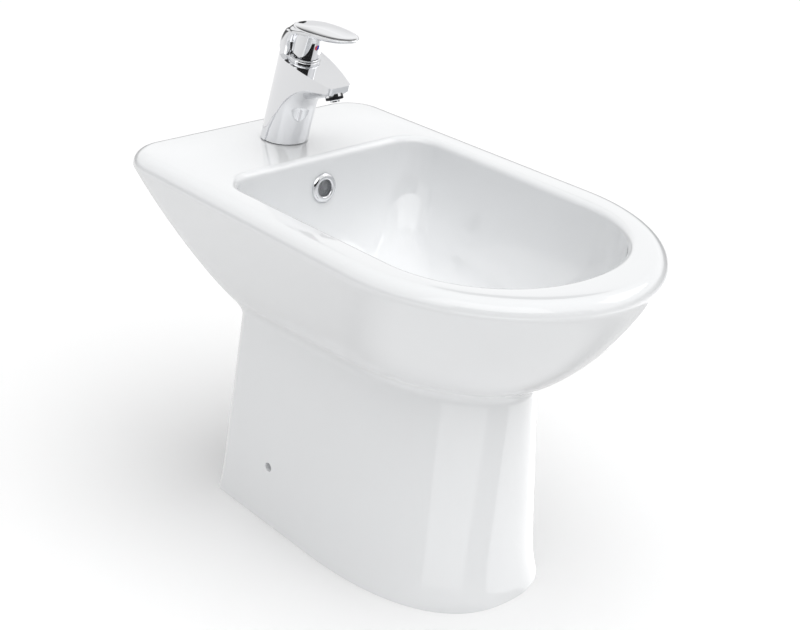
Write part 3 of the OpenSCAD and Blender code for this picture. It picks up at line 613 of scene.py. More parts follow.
@dataclass(frozen=True)
class Outline:
    """A plan outline with straight sides and back, round back corners and a rounded nose.

    side is the half width where the nose starts, at y = turn, and back_side the half width at the
    back. front and back are the ends in y, corner is a radius and nose the power of the nose's
    oval, 2 for a plain one.
    """

    side: float
    back_side: float
    back: float
    front: float
    turn: float
    nose: float
    corner: float
    nose_steps: int = 88
    side_steps: int = 10
    corner_steps: int = 14

    def grown(self, d: float, corner: float | None = None) -> "Outline":
        """The outline moved outwards by d, with its corner's radius grown as stated or by d."""
        return replace(self, side=self.side + d, back_side=self.back_side + d, back=self.back + d,
                       front=self.front - d, corner=self.corner + (d if corner is None else corner))

    def towards(self, other: "Outline", side: float, back: float, front: float) -> "Outline":
        """Blends with another outline.

        Args:
            other: The outline at a share of 1.
            side: The share for the sides and corners.
            back: The share for the back.
            front: The share for the front.

        Returns:
            The blend.
        """
        shares = {"side": side, "back_side": side, "back": back, "front": front, "turn": front,
                  "nose": front, "corner": side}
        return replace(self, **{name: mixed(getattr(self, name), getattr(other, name), k)
                                for name, k in shares.items()})

    def ring(self, z: float) -> Ring:
        """Points of the outline at a height.

        Args:
            z: The height.

        Returns:
            The ring of points.
        """
        w, wb, yb, c = self.side, self.back_side, self.back, self.corner
        power, depth, steps = 2 / self.nose, self.turn - self.front, self.side_steps
        points = [(w * signed_pow(cos(t), power), self.turn - depth * max(0.0, sin(t)) ** power, z)
                  for t in (pi * i / self.nose_steps for i in range(self.nose_steps + 1))]
        # the left side, the back and the right side, with a corner after each of the first two
        runs = (((-w, self.turn), (-wb, yb - c), steps), ((c - wb, yb), (wb - c, yb), steps),
                ((wb, yb - c), (w, self.turn), steps - 1))
        for n, (start, end, count) in enumerate(runs):
            points += [(*(mixed(p, q, i / steps) for p, q in zip(start, end)), z)
                       for i in range(1, count + 1)]
            if n < 2:
                x, first = (c - wb, wb - c)[n], pi - pi / 2 * n
                points += [(x + c * cos(a), yb - c + c * sin(a), z)
                           for a in (first - pi / 2 * i / self.corner_steps
                                     for i in range(1, self.corner_steps + 1))]
        return points


@dataclass
class China:
    """The pan and pedestal: one casting with a basin, a hollow foot and its holes."""

    rim_h: float = 400.0
    rim_roll: float = 15.0
    neck_h: float = 246.0
    below_neck: float = 14.0
    above_neck: float = 8.0
    wall: float = 13.0
    inner_corner: float = -4.0
    lip: float = 8.0
    floor_h: float = 268.0
    flare: float = 5.5
    flare_h: float = 45.0
    side_fullness: Flat = (1.04, 1.31)
    back_fullness: Flat = (1.1, 1.18)
    front_fullness: Flat = (1.25, 1.36)
    dishes: tuple[Flat, ...] = ((2.2, 1.6), (2.6, 1.8), (1.9, 1.5))
    inside_levels: tuple[float, ...] = (210, 150, 90, 45, 34, 24, 15, 8, 0)
    foot_levels: tuple[float, ...] = (0, 1.5, 3, 5, 8, 11, 15, 19, 24, 29, 34, 39, 45, 60, 80,
                                      105, 130, 155, 180, 200, 215, 225)
    bowl_levels: int = 40
    bowl_power: float = 1.25
    basin_levels: int = 36
    roll_step: int = 9
    floor_steps: tuple[Flat, ...] = ((0, 0), (6, 1.2), (13, 2.4), (20, 3))
    waste_y: float = 10.0
    tap_y: float = 216.0
    overflow_h: float = 363.0
    overflow_tip: float = 4.8
    overflow_hole_r: float = 11.2
    overflow_seat_r: float = 17.2
    overflow_depth: float = 16.0
    overflow_trim: tuple[Flat, ...] = (
        (9.6, 2.6), (9.9, 3.3), (10.6, 3.8), (11.6, 4.0), (13.4, 3.8), (14.8, 3.2), (15.8, 2.4),
        (16.4, 1.4), (16.5, 0.7), (16.4, 0.1), (10.9, 0.1), (10.9, -13.0), (9.6, -13.0))
    passage_r: float = 6.5
    passage: tuple[Point, ...] = ((0, 161, 370), (0, 143, 296), (0, 96, 238), (0, 10, 238))
    boss_r: float = 42.0
    boss_low: float = 226.0
    boss_high: float = 252.0
    rib_half_w: float = 14.0
    rib_depth: float = 26.0
    rib_end_y: float = 118.0
    ceiling_h: float = 248.0
    deck_under: float = 383.0
    room_half_w: float = 90.0
    room_gap: float = 1.0
    room_back_walls: float = 1.3
    room_low: float = 200.0
    room_bend: float = 262.0
    room_step: float = 6.0
    room_front_levels: tuple[float, ...] = (360, 340, 320, 302, 288, 278)
    room_back_levels: tuple[float, ...] = (243, 262, 285, 310, 335, 360)
    waste_hole_r: float = 22.5
    recess_r: float = 34.0
    recess_h: float = 258.0
    tap_hole_r: float = 17.5
    screw_hole_r: float = 5.3
    screw_hole_y: float = 98.0
    screw_hole_h: float = 69.0
    window_half_w: float = 62.0
    window: tuple[Flat, ...] = (
        (145, 45), (145, 240), (150, 262), (174, 300), (188, 332), (298, 332), (298, 45))
    over: float = 5.0
    rim: Outline = Outline(177.5, 172.0, 293.0, -293.0, -92.0, 1.95, 47.0)
    neck: Outline = Outline(99.0, 106.0, 164.0, -171.0, 8.0, 1.95, 25.0)
    foot: Outline = Outline(110.0, 102.0, 195.0, -176.0, 2.0, 2.45, 14.0)
    opening: Outline = Outline(136.5, 136.5, 148.0, -241.0, -107.0, 2.1, 36.0)
    floor: Outline = Outline(62.0, 62.0, 72.0, -118.0, -25.0, 2.0, 52.0)

    @property
    def roll_z(self) -> float:
        """Height where the rolled edge starts."""
        return self.rim_h - self.rim_roll

    @property
    def lip_z(self) -> float:
        """Height where the basin's rounded lip ends."""
        return self.rim_h - self.lip

    def swell(self, z: float, fullness: Flat) -> float:
        """Share of the way from waist to rim, for a bowl of some fullness.

        Args:
            z: The height.
            fullness: The fullness near the waist and near the rim.

        Returns:
            The share.
        """
        low, high = self.neck_h - self.below_neck, self.neck_h + self.above_neck
        if z <= low:
            return 0.0
        k = (max(z, high) - self.neck_h) / (self.roll_z - self.neck_h)
        share = (1 - max(0.0, 1 - k) ** fullness[0]) ** (1 / fullness[1])
        return share if z >= high else share * ((z - low) / (high - low)) ** 2

    def pedestal(self, z: float) -> Outline:
        """The pedestal's outline at a height.

        Args:
            z: The height.

        Returns:
            The outline.
        """
        k = min(z, self.neck_h) / self.neck_h
        f = self.flare * max(0.0, 1 - z / self.flare_h) ** 2
        o = self.foot.towards(self.neck, k, k, k)
        return replace(o, side=o.side + f / 2, back_side=o.back_side + f / 2, front=o.front - f)

    def outer(self, z: float) -> Outline:
        """The outside's outline at a height."""
        fullness = (self.side_fullness, self.back_fullness, self.front_fullness)
        return self.pedestal(z).towards(self.rim, *(self.swell(z, f) for f in fullness))

    def bowl(self, z: float) -> Outline:
        """The basin's outline at a height."""
        k = (self.lip_z - z) / (self.lip_z - self.floor_h)
        return self.opening.towards(
            self.floor, *(1 - (1 - k ** p) ** (1 / q) for p, q in self.dishes))

    def rings(self) -> list[Ring]:
        """Rings from the pedestal's ceiling, down its inside, up its outside, into the basin.

        Returns:
            The rings.
        """
        inside = [self.pedestal(z).grown(-self.wall, self.inner_corner).ring(z)
                  for z in (self.ceiling_h, *self.inside_levels)]
        low, high = self.neck_h - self.below_neck, self.neck_h + self.above_neck
        waist = [low + i for i in range(int(high - low) + 1)]
        bowl = [mixed(high, self.roll_z, (i / self.bowl_levels) ** self.bowl_power)
                for i in range(1, self.bowl_levels + 1)]
        outside = [self.outer(z).ring(z) for z in (*self.foot_levels, *waist, *bowl)]
        quarter = [radians(a) for a in range(0, 91, self.roll_step)]
        roll = [self.rim.grown(-self.rim_roll * (1 - cos(a)))
                .ring(self.roll_z + self.rim_roll * sin(a)) for a in quarter[1:]]
        lip = [self.opening.grown(self.lip * (1 - cos(a)))
               .ring(self.lip_z + self.lip * sin(a)) for a in reversed(quarter)]
        depth, steps = self.lip_z - self.floor_h, self.basin_levels
        basin = [self.bowl(self.lip_z - d).ring(self.lip_z - d)
                 for d in (depth * sin(pi / 2 * i / steps) for i in range(1, steps))]
        floor = [self.floor.grown(-d).ring(self.floor_h - fall) for d, fall in self.floor_steps]
        return inside + outside + roll + lip + basin + floor

    def at_overflow(self) -> Matrix:
        """The frame square to the basin's back wall at the overflow, in millimetres."""
        y = self.bowl(self.overflow_h).back
        return (Matrix.Translation((0, y, self.overflow_h))
                @ Euler((radians(90 - self.overflow_tip), 0, 0)).to_matrix().to_4x4())

    def back_room(self) -> list[Solid]:
        """The room behind the basin, with a rib left against the basin's middle.

        Returns:
            The solids to cut away.
        """
        front = [(self.bowl(max(z, self.floor_h)).back + self.wall + self.room_gap, z)
                 for z in (self.deck_under, *self.room_front_levels)]
        low = self.bowl(self.floor_h).back + self.wall + self.room_gap
        end = self.rib_end_y + self.room_step
        near = [*front, (low, self.room_bend), (low, self.room_low)]
        far = [*((y + self.rib_depth, z) for y, z in front),
               (end + self.room_step, self.room_bend), (end, self.ceiling_h), (end, self.room_low)]
        back = [(self.outer(min(z, self.roll_z)).back - self.room_back_walls * self.wall, z)
                for z in (self.room_low, *self.room_back_levels, self.deck_under)]
        wide, rib = self.room_half_w, self.rib_half_w
        return [across([*far, *back], -wide, wide), across([*near, *back], -wide, -rib),
                across([*near, *back], rib, wide)]

    def added(self) -> list[Solid]:
        """The waste's boss and the overflow's rib under the basin."""
        return [post(self.boss_r, self.boss_low, self.boss_high)
                .placed(Matrix.Translation((0, self.waste_y, 0))),
                block((-self.rib_half_w, self.waste_y, self.boss_low),
                      (self.rib_half_w, self.rib_end_y, self.boss_high))]

    def holes(self) -> list[Solid]:
        """Every room and hole.

        Returns:
            The solids to cut away, in order.
        """
        at_waste = Matrix.Translation((0, self.waste_y, 0))
        at_tap = Matrix.Translation((0, self.tap_y, 0))
        flow, rim, over = self.at_overflow(), self.rim_h, self.over
        side, clear = self.rim.side + 2 * over, 4 * over
        return [*self.back_room(), across(self.window, -self.window_half_w, self.window_half_w),
                *(rod(a, b, self.passage_r) for a, b in zip(self.passage, self.passage[1:])),
                post(self.overflow_hole_r, -self.overflow_depth, clear).placed(flow),
                post(self.overflow_seat_r, 0, clear).placed(flow),
                post(self.tap_hole_r, self.deck_under - over, rim + over).placed(at_tap),
                post(self.waste_hole_r, self.boss_low - over, rim).placed(at_waste),
                post(self.recess_r, self.recess_h, rim).placed(at_waste),
                rod((-side, self.screw_hole_y, self.screw_hole_h),
                    (side, self.screw_hole_y, self.screw_hole_h), self.screw_hole_r)]

    def build(self) -> None:
        """Builds and dresses the china and the chrome ring of its overflow."""
        pan = part_object("glazed_pan", loft(self.rings()))
        carve(pan, joined=self.added(), away=self.holes())
        dress(pan, GLAZE, Carried.BIDET,
              ["ceramic_pedestal", "ceramic_bowl", "ceramic_deck"], crease=38.0)
        ring = part_object("overflow_trim", turned(self.overflow_trim).placed(self.at_overflow()))
        dress(ring, CHROME, Carried.BIDET, ["overflow_ring"])


# --- mixer


@dataclass
class MixerFrame:
    """The mixer's leaning frame and the nozzle's frame, in millimetres."""

    tap_y: float = 216.0
    deck: float = 400.0
    lean: float = 15.5
    top: float = 104.0
    pivot_rise: float = 5.0
    nozzle_y: float = -56.5
    nozzle_h: float = 91.5
    nozzle_lean: float = 35.5

    @property
    def tap(self) -> Matrix:
        """Origin at the deck, Z along the leaning axis, spout towards -Y."""
        return (Matrix.Translation((0, self.tap_y, self.deck))
                @ Matrix.Rotation(radians(self.lean), 4, "X"))

    @property
    def nozzle(self) -> Matrix:
        """Z runs up into the spout and water leaves along -Z."""
        return (self.tap @ Matrix.Translation((0, self.nozzle_y, self.nozzle_h))
                @ Matrix.Rotation(radians(-self.nozzle_lean), 4, "X"))

    @property
    def pivot_h(self) -> float:
        """Height of the lever's pivot along the leaning axis."""
        return self.top + self.pivot_rise


def curve_at(points: Sequence[Flat], y: float) -> float:
    """A smooth curve through (y, z) points that keeps their rise and fall.

    Args:
        points: The points in rising y.
        y: The place.

    Returns:
        The height.
    """
    if y <= points[0][0]:
        return points[0][1]
    if y >= points[-1][0]:
        return points[-1][1]
    slopes = [(b[1] - a[1]) / (b[0] - a[0]) for a, b in zip(points, points[1:])]
    tangents = [slopes[0], *((a + b) / 2 if a * b > 0 else 0.0
                             for a, b in zip(slopes, slopes[1:])), slopes[-1]]
    k = max(i for i, p in enumerate(points[:-1]) if p[0] <= y)
    (y0, z0), (y1, z1) = points[k], points[k + 1]
    h, t = y1 - y0, (y - y0) / (y1 - y0)
    return (z0 * (1 + 2 * t) * (1 - t) ** 2 + tangents[k] * h * t * (1 - t) ** 2
            + z1 * t * t * (3 - 2 * t) + tangents[k + 1] * h * t * t * (t - 1))


@dataclass
class MixerBody:
    """The cast body: a cape-like shell over a bent neck on a round base."""

    frame: MixerFrame
    half_w: float = 26.6
    back: float = 27.5
    reach: float = 64.5
    end_half_w: float = 15.5
    corner: float = 5.0
    draw_in: float = 1.8
    neck_r: float = 25.2
    inset: float = 1.2
    low: float = -12.0
    seal_h: float = 1.2
    bend_in_r: float = 28.0
    belly_l: float = 60.0
    collar_face: float = -3.3
    socket_r: float = 8.8
    socket_wall: float = 1.1
    socket_h: float = 5.0
    boss_h: float = 6.0
    chamber_r: float = 12.9
    chamber_depth: float = 30.0
    nut_r: float = 15.6
    nut_depth: float = 7.0
    inlet_r: float = 4.6
    inlet_x: float = 7.0
    inlet_y: float = 213.0
    inlet_depth: float = 13.0
    stud_r: float = 4.05
    stud_y: float = 225.0
    stud_depth: float = 15.0
    edge: float = 0.5
    clear: Point = (60.0, 80.0, 40.0)
    far: float = 200.0
    margin: float = 1.0
    over: float = 9.0
    socket_low: float = -20.0
    back_steps: int = 72
    side_steps: int = 32
    corner_steps: int = 10
    cape_steps: int = 90
    bend_steps: int = 40
    run_steps: int = 16
    arch: tuple[Flat, ...] = (
        (-66.5, 97), (-58, 96.3), (-50, 94.3), (-40, 89.8), (-30, 82.8), (-20, 72.6), (-12, 60),
        (-6, 45.5), (-1, 29), (2.5, 13), (4.5, -12))
    shroud_h: float = 4.4
    shroud_bands: tuple[Flat, ...] = (
        (11.3, -3), (15.4, -3), (15.4, 0), (18, 0), (18, 1.3), (17.8, 1.6), (17.3, 1.9),
        (17.3, 2.3), (17.8, 2.6), (18, 2.9), (18, 3.7), (17.8, 4.2), (17.3, 4.4))
    shroud_bowl_r: float = 11.8
    shroud_eye_r: float = 9.2
    shroud_inside: tuple[Flat, ...] = ((9.2, 3), (10.2, 0), (11.3, -4))

    def plan(self, d: float) -> list[Flat]:
        """The plan along the leaning axis: round back, sides that draw in to the spout.

        Args:
            d: How far outwards it is moved.

        Returns:
            The (x, y) points.
        """
        steps, sides = self.back_steps, self.side_steps
        run, flat = self.reach - self.corner, self.end_half_w - self.corner
        points = [((self.half_w + d) * cos(pi * i / steps),
                   (self.back + d) * sin(pi * i / steps)) for i in range(steps + 1)]
        side = [(mixed(self.half_w, self.end_half_w, (i / sides) ** self.draw_in) + d,
                 -run * i / sides) for i in range(1, sides + 1)]
        turn = [pi / 2 * i / self.corner_steps for i in range(1, self.corner_steps + 1)]
        nose = [(flat + (self.corner + d) * cos(a), -run - (self.corner + d) * sin(a))
                for a in turn]
        points += [(-x, y) for x, y in side + nose]
        points += [*reversed(nose), *reversed(side)]
        return points

    def extruded(self, d: float) -> Solid:
        """The plan moved outwards by d, as a tall solid in the mixer's frame."""
        outline, low, high = self.plan(d), self.low - self.margin, self.frame.top + self.over
        return loft([[(x, y, mixed(low, high, i / self.side_steps)) for x, y in outline]
                     for i in range(self.side_steps + 1)])

    def cape(self) -> Solid:
        """The cape's side outline, from its arch up to the flat top, as a wide solid.

        Returns:
            The solid in the mixer's frame.
        """
        first, last, steps = self.arch[0][0], self.arch[-1][0], self.cape_steps
        lower = [(y, curve_at(self.arch, y))
                 for y in (first + (last - first) * i / steps for i in range(steps + 1))]
        back, top, side = self.back + 2 * self.margin, self.frame.top, self.half_w + self.margin
        return across([*lower, (back, self.low), (back, top), (first, top)], -side, side)

    def underside(self, r: float) -> float:
        """Height of the spout's underside along the leaning axis, at r from that axis."""
        lean = radians(self.frame.nozzle_lean)
        return (self.frame.nozzle_h + self.collar_face / cos(lean)
                + (r + self.frame.nozzle_y) * tan(lean))

    def neck(self) -> Solid:
        """The round neck: upright, then bent forward, then straight along the underside.

        Returns:
            The solid in the mixer's frame.
        """
        turn = radians(90 - self.frame.nozzle_lean)
        bend_r, steps, bends = self.bend_in_r + self.neck_r, self.run_steps, self.bend_steps
        low = self.underside(self.neck_r) - self.bend_in_r * tan(turn / 2)
        run = [(0.0, mixed(self.low, low, i / steps), 0.0) for i in range(steps)]
        run += [(bend_r * (cos(t) - 1), low + bend_r * sin(t), t)
                for t in (turn * i / bends for i in range(bends))]
        end_y, end_z = bend_r * (cos(turn) - 1), low + bend_r * sin(turn)
        run += [(end_y - s * sin(turn), end_z + s * cos(turn), turn)
                for s in (self.belly_l * i / steps for i in range(steps + 1))]
        return loft([[(x, y + v * cos(t), z + v * sin(t))
                      for x, v, _ in circle(self.neck_r, 0, 2 * self.back_steps)]
                     for y, z, t in run])

    def holes(self) -> list[Solid]:
        """The foot's level cut, the cartridge's room, the nozzle's socket and the base's bores.

        Returns:
            The solids to cut away, in order.
        """
        tap, top, deck, y = self.frame.tap, self.frame.top, self.frame.deck, self.frame.tap_y
        (cx, cy, cz), rise = self.clear, self.chamber_depth
        bores = [(0.0, self.stud_y, self.stud_depth, self.stud_r)]
        bores += [(x, self.inlet_y, self.inlet_depth, self.inlet_r)
                  for x in (-self.inlet_x, self.inlet_x)]
        return [block((-cx, y - cy, deck - cz), (cx, y + cy, deck + self.seal_h)),
                post(self.chamber_r, top - self.chamber_depth, top + rise).placed(tap),
                post(self.nut_r, top - self.nut_depth, top + rise).placed(tap),
                post(self.socket_r, self.socket_low, self.socket_h).placed(self.frame.nozzle),
                *(rod((x, at_y, deck), (x, at_y, deck + depth), r) for x, at_y, depth, r in bores)]

    def build(self) -> None:
        """Builds and dresses the mixer's body and the two-band ring under its lever."""
        neck = part_object("mixer_neck", self.neck())
        carve(neck, shared=[self.extruded(-self.inset),
                            block((-self.clear[0], -self.far, self.low),
                                  (self.clear[0], self.far, self.frame.top - self.margin))])
        body = part_object("mixer_casting", self.extruded(0.0))
        carve(body, shared=[self.cape()], joined=[solid_of(neck)])
        body.data.transform(in_metres(self.frame.tap))
        socket = post(self.socket_r + self.socket_wall, self.collar_face, self.boss_h)
        carve(body, joined=[socket.placed(self.frame.nozzle)], away=self.holes())
        soften(body, self.edge, crease=35.0)
        dress(body, CHROME, Carried.BIDET, ["tap_body"], crease=50.0, flats=True)
        ring = part_object("lever_collar", turned(self.shroud()).placed(self.frame.tap))
        dress(ring, CHROME, Carried.BIDET, ["shroud_ring"])

    def shroud(self) -> list[Flat]:
        """The ring's profile: two bands outside, a bowl for the lever's ball inside.

        Returns:
            The (radius, height) points.
        """
        top, pivot, r = self.frame.top, self.frame.pivot_h, self.shroud_bowl_r
        start = degrees(asin((top + self.shroud_h - pivot) / r))
        end = degrees(acos(self.shroud_eye_r / r))
        return [*((x, top + z) for x, z in self.shroud_bands),
                *arc(r, pivot, start, end, self.run_steps),
                *((x, pivot + z) for x, z in self.shroud_inside)]


@dataclass
class Lever:
    """The lever: oval dished paddle, round hub and back shoulder in one casting.

    A slice is a depth under the top, a front end, a back end, a half width and its widest place.
    The dish's steps are how far the top slice is drawn in and its depth there.
    """

    frame: MixerFrame
    hub_r: float = 16.2
    hub_span: Flat = (-6.0, 40.0)
    hub_high: float = 534.0
    lift: float = 18.0
    height: float = 138.0
    squareness: float = 0.9
    edge: float = 0.3
    under_r: float = 18.6
    under_span: Flat = (-30.0, 30.0)
    under_h: float = 2.5
    heel_h: float = -4.2
    ball_r: float = 12.6
    stem: Point = (3.1, 3.6, 23.0)
    grub_h: float = 20.5
    grub_r: float = 2.55
    grub_y: float = -40.0
    index_r: float = 3.2
    index_depth: float = 14.0
    far: float = 100.0
    steps: int = 128
    slices: tuple[tuple[float, float, float, float, float], ...] = (
        (34, 189, 213, 23.6, 199), (27, 187.6, 212, 23.4, 198.2), (20, 186, 211, 23.2, 197.5),
        (15, 182.5, 209.1, 23.1, 194.8), (10, 178, 206.5, 23, 191), (8, 172.5, 204.9, 23, 189),
        (6, 165, 203, 23, 187), (5.5, 141, 202, 23, 183.5), (5, 118, 201, 23, 179.8),
        (4, 113, 200.3, 23.3, 176.8), (3, 110, 199.5, 23.5, 173.8), (2, 109.2, 198.3, 23.5, 168.8),
        (1, 109, 197, 23.5, 161.8))
    dish: tuple[Flat, ...] = ((0.1, 0.6), (0.35, 0.25), (1.0, 0.0), (2.0, 0.15), (4, 0.6),
                              (6.5, 1.0), (9, 1.3), (12, 1.6), (15, 1.8), (19, 2.0))

    def oval(self, h: float, front: float, back: float, half_w: float, wide: float,
             inset: float = 0.0) -> Ring:
        """A level slice of the lever.

        Args:
            h: Height above the deck.
            front: Its front end.
            back: Its back end.
            half_w: Its half width.
            wide: Where it is widest.
            inset: How far it is drawn in.

        Returns:
            The ring.
        """
        ring: Ring = []
        for i in range(self.steps):
            a = -tau * i / self.steps
            half_l = back - wide if sin(a) > 0 else wide - front
            ring.append(((half_w - inset) * signed_pow(cos(a), self.squareness),
                         wide + (half_l - inset) * signed_pow(sin(a), self.squareness),
                         self.frame.deck + h))
        return ring

    def casting(self) -> Solid:
        """The shoulder and paddle with a rounded edge and a dished top.

        Returns:
            The solid in the CAD model's frame.
        """
        _, *last = self.slices[-1]
        return loft([*(self.oval(self.height - drop, *rest) for drop, *rest in self.slices),
                     *(self.oval(self.height - drop, *last, inset) for inset, drop in self.dish)])

    def below(self, lean: float, h: float) -> Solid:
        """The space below a plane at h above the pivot that leans back by some degrees."""
        place = (Matrix.Translation((0, 0, self.frame.pivot_h + h))
                 @ Matrix.Rotation(radians(lean), 4, "X"))
        return block((-self.far, -self.far, -self.far), (self.far, self.far, 0)).placed(place)

    def build(self) -> None:
        """Builds and dresses the lever."""
        tap, p, far = self.frame.tap, self.frame.pivot_h, self.far
        low, high = (p + d for d in self.hub_span)
        hub = part_object("lever_hub", post(self.hub_r, low, high, self.steps).placed(tap))
        carve(hub, shared=[block((-far, 0, 4 * far), (far, 4 * far, self.hub_high))])
        low, high = (p + d for d in self.under_span)
        under = part_object("lever_under", post(self.under_r, low, high, self.steps))
        carve(under, shared=[self.below(self.lift / 2, self.under_h)])
        grub_h, (stem_x, stem_y, stem_h) = self.frame.top + self.grub_h, self.stem
        lever = part_object("lever_casting", self.casting())
        cuts = [self.below(self.lift, self.heel_h), ball(self.ball_r, p),
                block((-stem_x, -stem_y, p), (stem_x, stem_y, p + stem_h)),
                rod((0, self.grub_y, grub_h), (0, 0, grub_h), self.grub_r),
                rod((0, self.grub_y, grub_h), (0, -self.index_depth, grub_h), self.index_r)]
        joined = [solid_of(hub)]
        carve(lever, joined=joined, away=[s.placed(tap) for s in (solid_of(under), *cuts)])
        soften(lever, self.edge, crease=40.0)
        dress(lever, CHROME, Carried.LEVER, ["lever_handle"], crease=50.0, flats=True)


@dataclass
class Nozzle:
    """The knurled collar and the swivelling ball in it."""

    frame: MixerFrame
    ball_h: float = -3.0
    ball_r: float = 6.8
    ball_steps: int = 28
    tube: tuple[Flat, ...] = ((3.5, -7.6), (4.15, -7.6), (4.15, -9.2), (4.7, -9.2), (5.0, -8.9))
    clearance: float = 0.15
    open_r: float = 6.15
    collar_steps: int = 12
    collar_top: float = -1.0
    collar_form: tuple[Flat, ...] = ((8.1, -3.1), (8.1, 3.0), (8.7, 3.0), (8.7, -3.3), (9.1, -3.3),
                                     (9.3, -3.6), (9.3, -6.1), (9.0, -6.4), (8.7, -6.5))
    knurls: int = 36
    knurl_r: float = 0.35
    knurl_circle_r: float = 9.2
    knurl_low: float = -6.1
    knurl_high: float = -3.5

    def collar(self) -> Solid:
        """The collar's turned form.

        Returns:
            The solid in the nozzle's frame.
        """
        concave = self.ball_r + self.clearance
        start = -degrees(acos(self.open_r / concave))
        return turned([*arc(concave, self.ball_h, start, self.collar_top, self.collar_steps),
                       *self.collar_form])

    def head(self) -> Solid:
        """The ball with its short tube and stepped bore, in the nozzle's frame."""
        top, meet = (degrees(acos(self.tube[i][0] / self.ball_r)) for i in (0, -1))
        return turned([*arc(self.ball_r, self.ball_h, -meet, top, self.ball_steps), *self.tube])

    def build(self) -> None:
        """Builds and dresses the collar, its knurl and the ball."""
        place = self.frame.nozzle
        collar = part_object("nozzle_collar_turned", self.collar().placed(place))
        dress(collar, DARK_CHROME, Carried.BIDET, ["nozzle_collar"])
        low, high = self.knurl_low, self.knurl_high
        knurl = RibTree().piece("nozzle_knurl", DARK_CHROME, place, {
            "Count": self.knurls, "Circle Radius": self.knurl_circle_r * MM,
            "Rib Radius": self.knurl_r * MM, "Rib Height": (high - low) * MM,
            "Base Height": (low + high) / 2 * MM})
        dress(knurl, DARK_CHROME, Carried.BIDET)
        head = part_object("nozzle_head", self.head().placed(place))
        dress(head, CHROME, Carried.NOZZLE, ["nozzle_ball"])


@dataclass
class PlugSpring:
    """The click spring under the plug."""

    waste_y: float = 10.0
    turns: float = 6.0
    coil_r: float = 5.4
    wire_r: float = 0.7
    low: float = 237.0
    high: float = 256.0

    def build(self) -> None:
        """Builds and dresses the spring."""
        place = Matrix.Translation((0, self.waste_y, 0))
        spring = CoilTree().piece("plug_spring", ZINC, place, {
            "Turns": self.turns, "Coil Radius": self.coil_r * MM,
            "Coil Height": (self.high - self.low) * MM, "Wire Radius": self.wire_r * MM,
            "Base Height": self.low * MM})
        dress(spring, ZINC, Carried.BIDET, ["click_spring"], crease=60.0)


def dress_nodes(frame: dict) -> None:
    """Gives every CAD node that stays the finish of its material slot.
    """
    for row in frame["record"]["subparts"]:
        node = frame["nodes"][row["node"]]
        if node.hide_render:
            continue
        finish = FINISH_OF[row["material_slot"]]
        for slot in node.material_slots:
            slot.link = "OBJECT"
            slot.material = finish.material()
        LOG.info("%s keeps its solid in %s", node.name, finish.name)


# --- studio


@dataclass(frozen=True)
class Surround:
    """The studio's walls: plain and pale as lit and as seen, with soft panels and cards in gloss.

    A panel is an elevation and its grey. A card is an azimuth from +X towards +Y and its half
    width, an elevation and its half height, all in degrees, and a grey.
    """

    strength: float = 0.61
    backdrop: float = 1.6
    lit_side: float = 0.91
    darker_side: float = 0.53
    panels: tuple[Flat, ...] = (
        (-90.0, 1.1), (-62.0, 1.3), (-52.0, 0.7), (-40.0, 1.3), (-11.0, 1.6), (-6.0, 0.2),
        (6.0, 0.15), (11.0, 1.4), (18.0, 1.8), (26.0, 1.5), (90.0, 1.7))
    cards: tuple[tuple[float, float, float, float, float], ...] = (
        (-135.5, 24.5, -25.0, 8.0, 2.6), (-22.0, 52.0, -25.0, 8.0, 3.0),
        (-140.0, 40.0, 48.0, 20.0, 3.0), (-24.0, 26.0, 40.0, 12.0, 4.0),
        (-118.0, 42.0, 16.0, 11.0, 0.04), (41.0, 4.5, 32.0, 5.5, 0.05))

    def build(self) -> None:
        """Builds the surround and makes it the scene's world."""
        world = bpy.data.worlds.new("surround")
        world.use_nodes = True
        wire = Wiring(world.node_tree)
        place = wire.node("ShaderNodeTexCoord").outputs["Generated"]
        parts = wire.node("ShaderNodeSeparateXYZ", {"Vector": place}).outputs
        path = wire.node("ShaderNodeLightPath").outputs
        up = wire.sum("ARCSINE", parts["Z"])
        turn = wire.sum("ARCTAN2", parts["Y"], parts["X"])
        side = wire.node("ShaderNodeMapRange", {
            "Value": parts["X"], "From Min": -1.0, "To Min": self.lit_side,
            "To Max": self.darker_side}).outputs["Result"]
        seen = self._panels(wire, up)
        for azimuth, half_w, elevation, half_h, shade in self.cards:
            across_it = wire.sum("COMPARE", turn, radians(azimuth), radians(half_w))
            along_it = wire.sum("COMPARE", up, radians(elevation), radians(half_h))
            seen = wire.mix(wire.sum("MULTIPLY", across_it, along_it), seen, grey(shade))
        lit = wire.mix(path["Is Glossy Ray"], side, seen)
        lit = wire.mix(path["Is Camera Ray"], lit, grey(self.backdrop))
        ground = world.node_tree.nodes["Background"]
        wire.feed(ground.inputs["Color"], lit)
        wire.feed(ground.inputs["Strength"], self.strength)
        bpy.context.scene.world = world

    def _panels(self, wire: Wiring, up: Socket) -> Socket:
        """The panels' greys over their elevations.

        Args:
            wire: The world's wiring.
            up: The elevation.

        Returns:
            The grey.
        """
        share = wire.node("ShaderNodeMapRange", {
            "Value": up, "From Min": -pi / 2, "From Max": pi / 2})
        made = wire.node("ShaderNodeValToRGB", {"Fac": share.outputs["Result"]})
        stops = made.color_ramp.elements
        (low, first), (high, last) = self.panels[0], self.panels[-1]
        stops[0].color = grey(first)
        stops[1].color = grey(last)
        for elevation, shade in self.panels[1:-1]:
            stops.new((elevation - low) / (high - low)).color = grey(shade)
        return made.outputs["Color"]


def grey(shade: float) -> tuple[float, float, float, float]:
    """An opaque grey."""
    return (shade, shade, shade, 1.0)


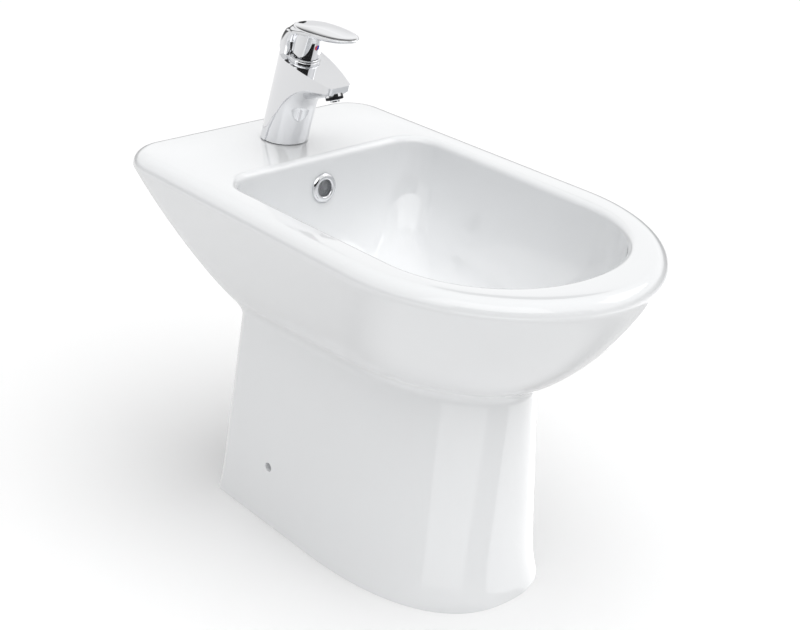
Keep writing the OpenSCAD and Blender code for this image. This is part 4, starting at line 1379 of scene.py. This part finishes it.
@dataclass
class Studio:
    """Pale floor, soft light and the camera at the photograph's viewing angle."""

    azimuth: float = -44.035
    elevation: float = 24.83
    roll: float = 3.888
    distance: float = 1826.548
    target: Point = (-12.251, 0.0, 268.634)
    lens: float = 77.609
    sensor: float = 36.0
    clip_end: float = 50.0
    floor_half: float = 9000.0
    floor_h: float = -0.2
    sun_from: Point = (0.0, -0.28, 0.96)
    sun_angle: float = 70.0
    sun_strength: float = 2.18

    def camera(self) -> None:
        """Creates the camera and makes it the scene's."""
        az, el, roll = (radians(v) for v in (self.azimuth, self.elevation, self.roll))
        back = Vector((sin(az) * cos(el), -cos(az) * cos(el), sin(el)))
        right = (-back).cross(Vector((0, 0, 1))).normalized()
        up = right.cross(-back)
        level = right * cos(roll) + up * sin(roll)
        upright = up * cos(roll) - right * sin(roll)
        data = bpy.data.cameras.new("camera")
        data.lens = self.lens
        data.sensor_width = self.sensor
        data.sensor_fit = "HORIZONTAL"
        data.clip_end = self.clip_end
        made = bpy.data.objects.new("camera", data)
        place = Matrix((level, upright, back)).transposed().to_4x4()
        place.translation = (Vector(self.target) + back * self.distance) * MM
        made.matrix_world = place
        bpy.context.scene.collection.objects.link(made)
        bpy.context.scene.camera = made

    def floor(self) -> None:
        """Builds the pale floor."""
        half, z = self.floor_half, self.floor_h
        corners = [(-half, -half, z), (half, -half, z), (half, half, z), (-half, half, z)]
        floor = part_object("floor", Solid(corners, [(0, 1, 2, 3)]))
        floor.data.materials.append(PALE_FLOOR.material())
        floor.visible_glossy = False

    def sun(self) -> None:
        """Adds one broad soft lamp, high and in front."""
        data = bpy.data.lights.new("high_lamp", "SUN")
        data.angle = radians(self.sun_angle)
        data.energy = self.sun_strength
        made = bpy.data.objects.new("high_lamp", data)
        made.rotation_euler = (-Vector(self.sun_from)).to_track_quat("-Z", "Y").to_euler()
        made.visible_glossy = False
        bpy.context.scene.collection.objects.link(made)

    def build(self) -> None:
        """Builds the whole studio."""
        self.camera()
        self.floor()
        Surround().build()
        self.sun()
        bpy.context.scene.view_settings.view_transform = "Standard"


def main() -> None:
    """Builds the bidet's pieces in order, then the studio."""
    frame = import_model()
    mixer = MixerFrame()
    for piece in (China(), MixerBody(mixer), Lever(mixer), Nozzle(mixer), PlugSpring()):
        piece.build()
        LOG.info("%s is built", type(piece).__name__)
    dress_nodes(frame)
    Studio().build()


if __name__ == "__main__":
    logging.basicConfig(level=logging.INFO)
    main()
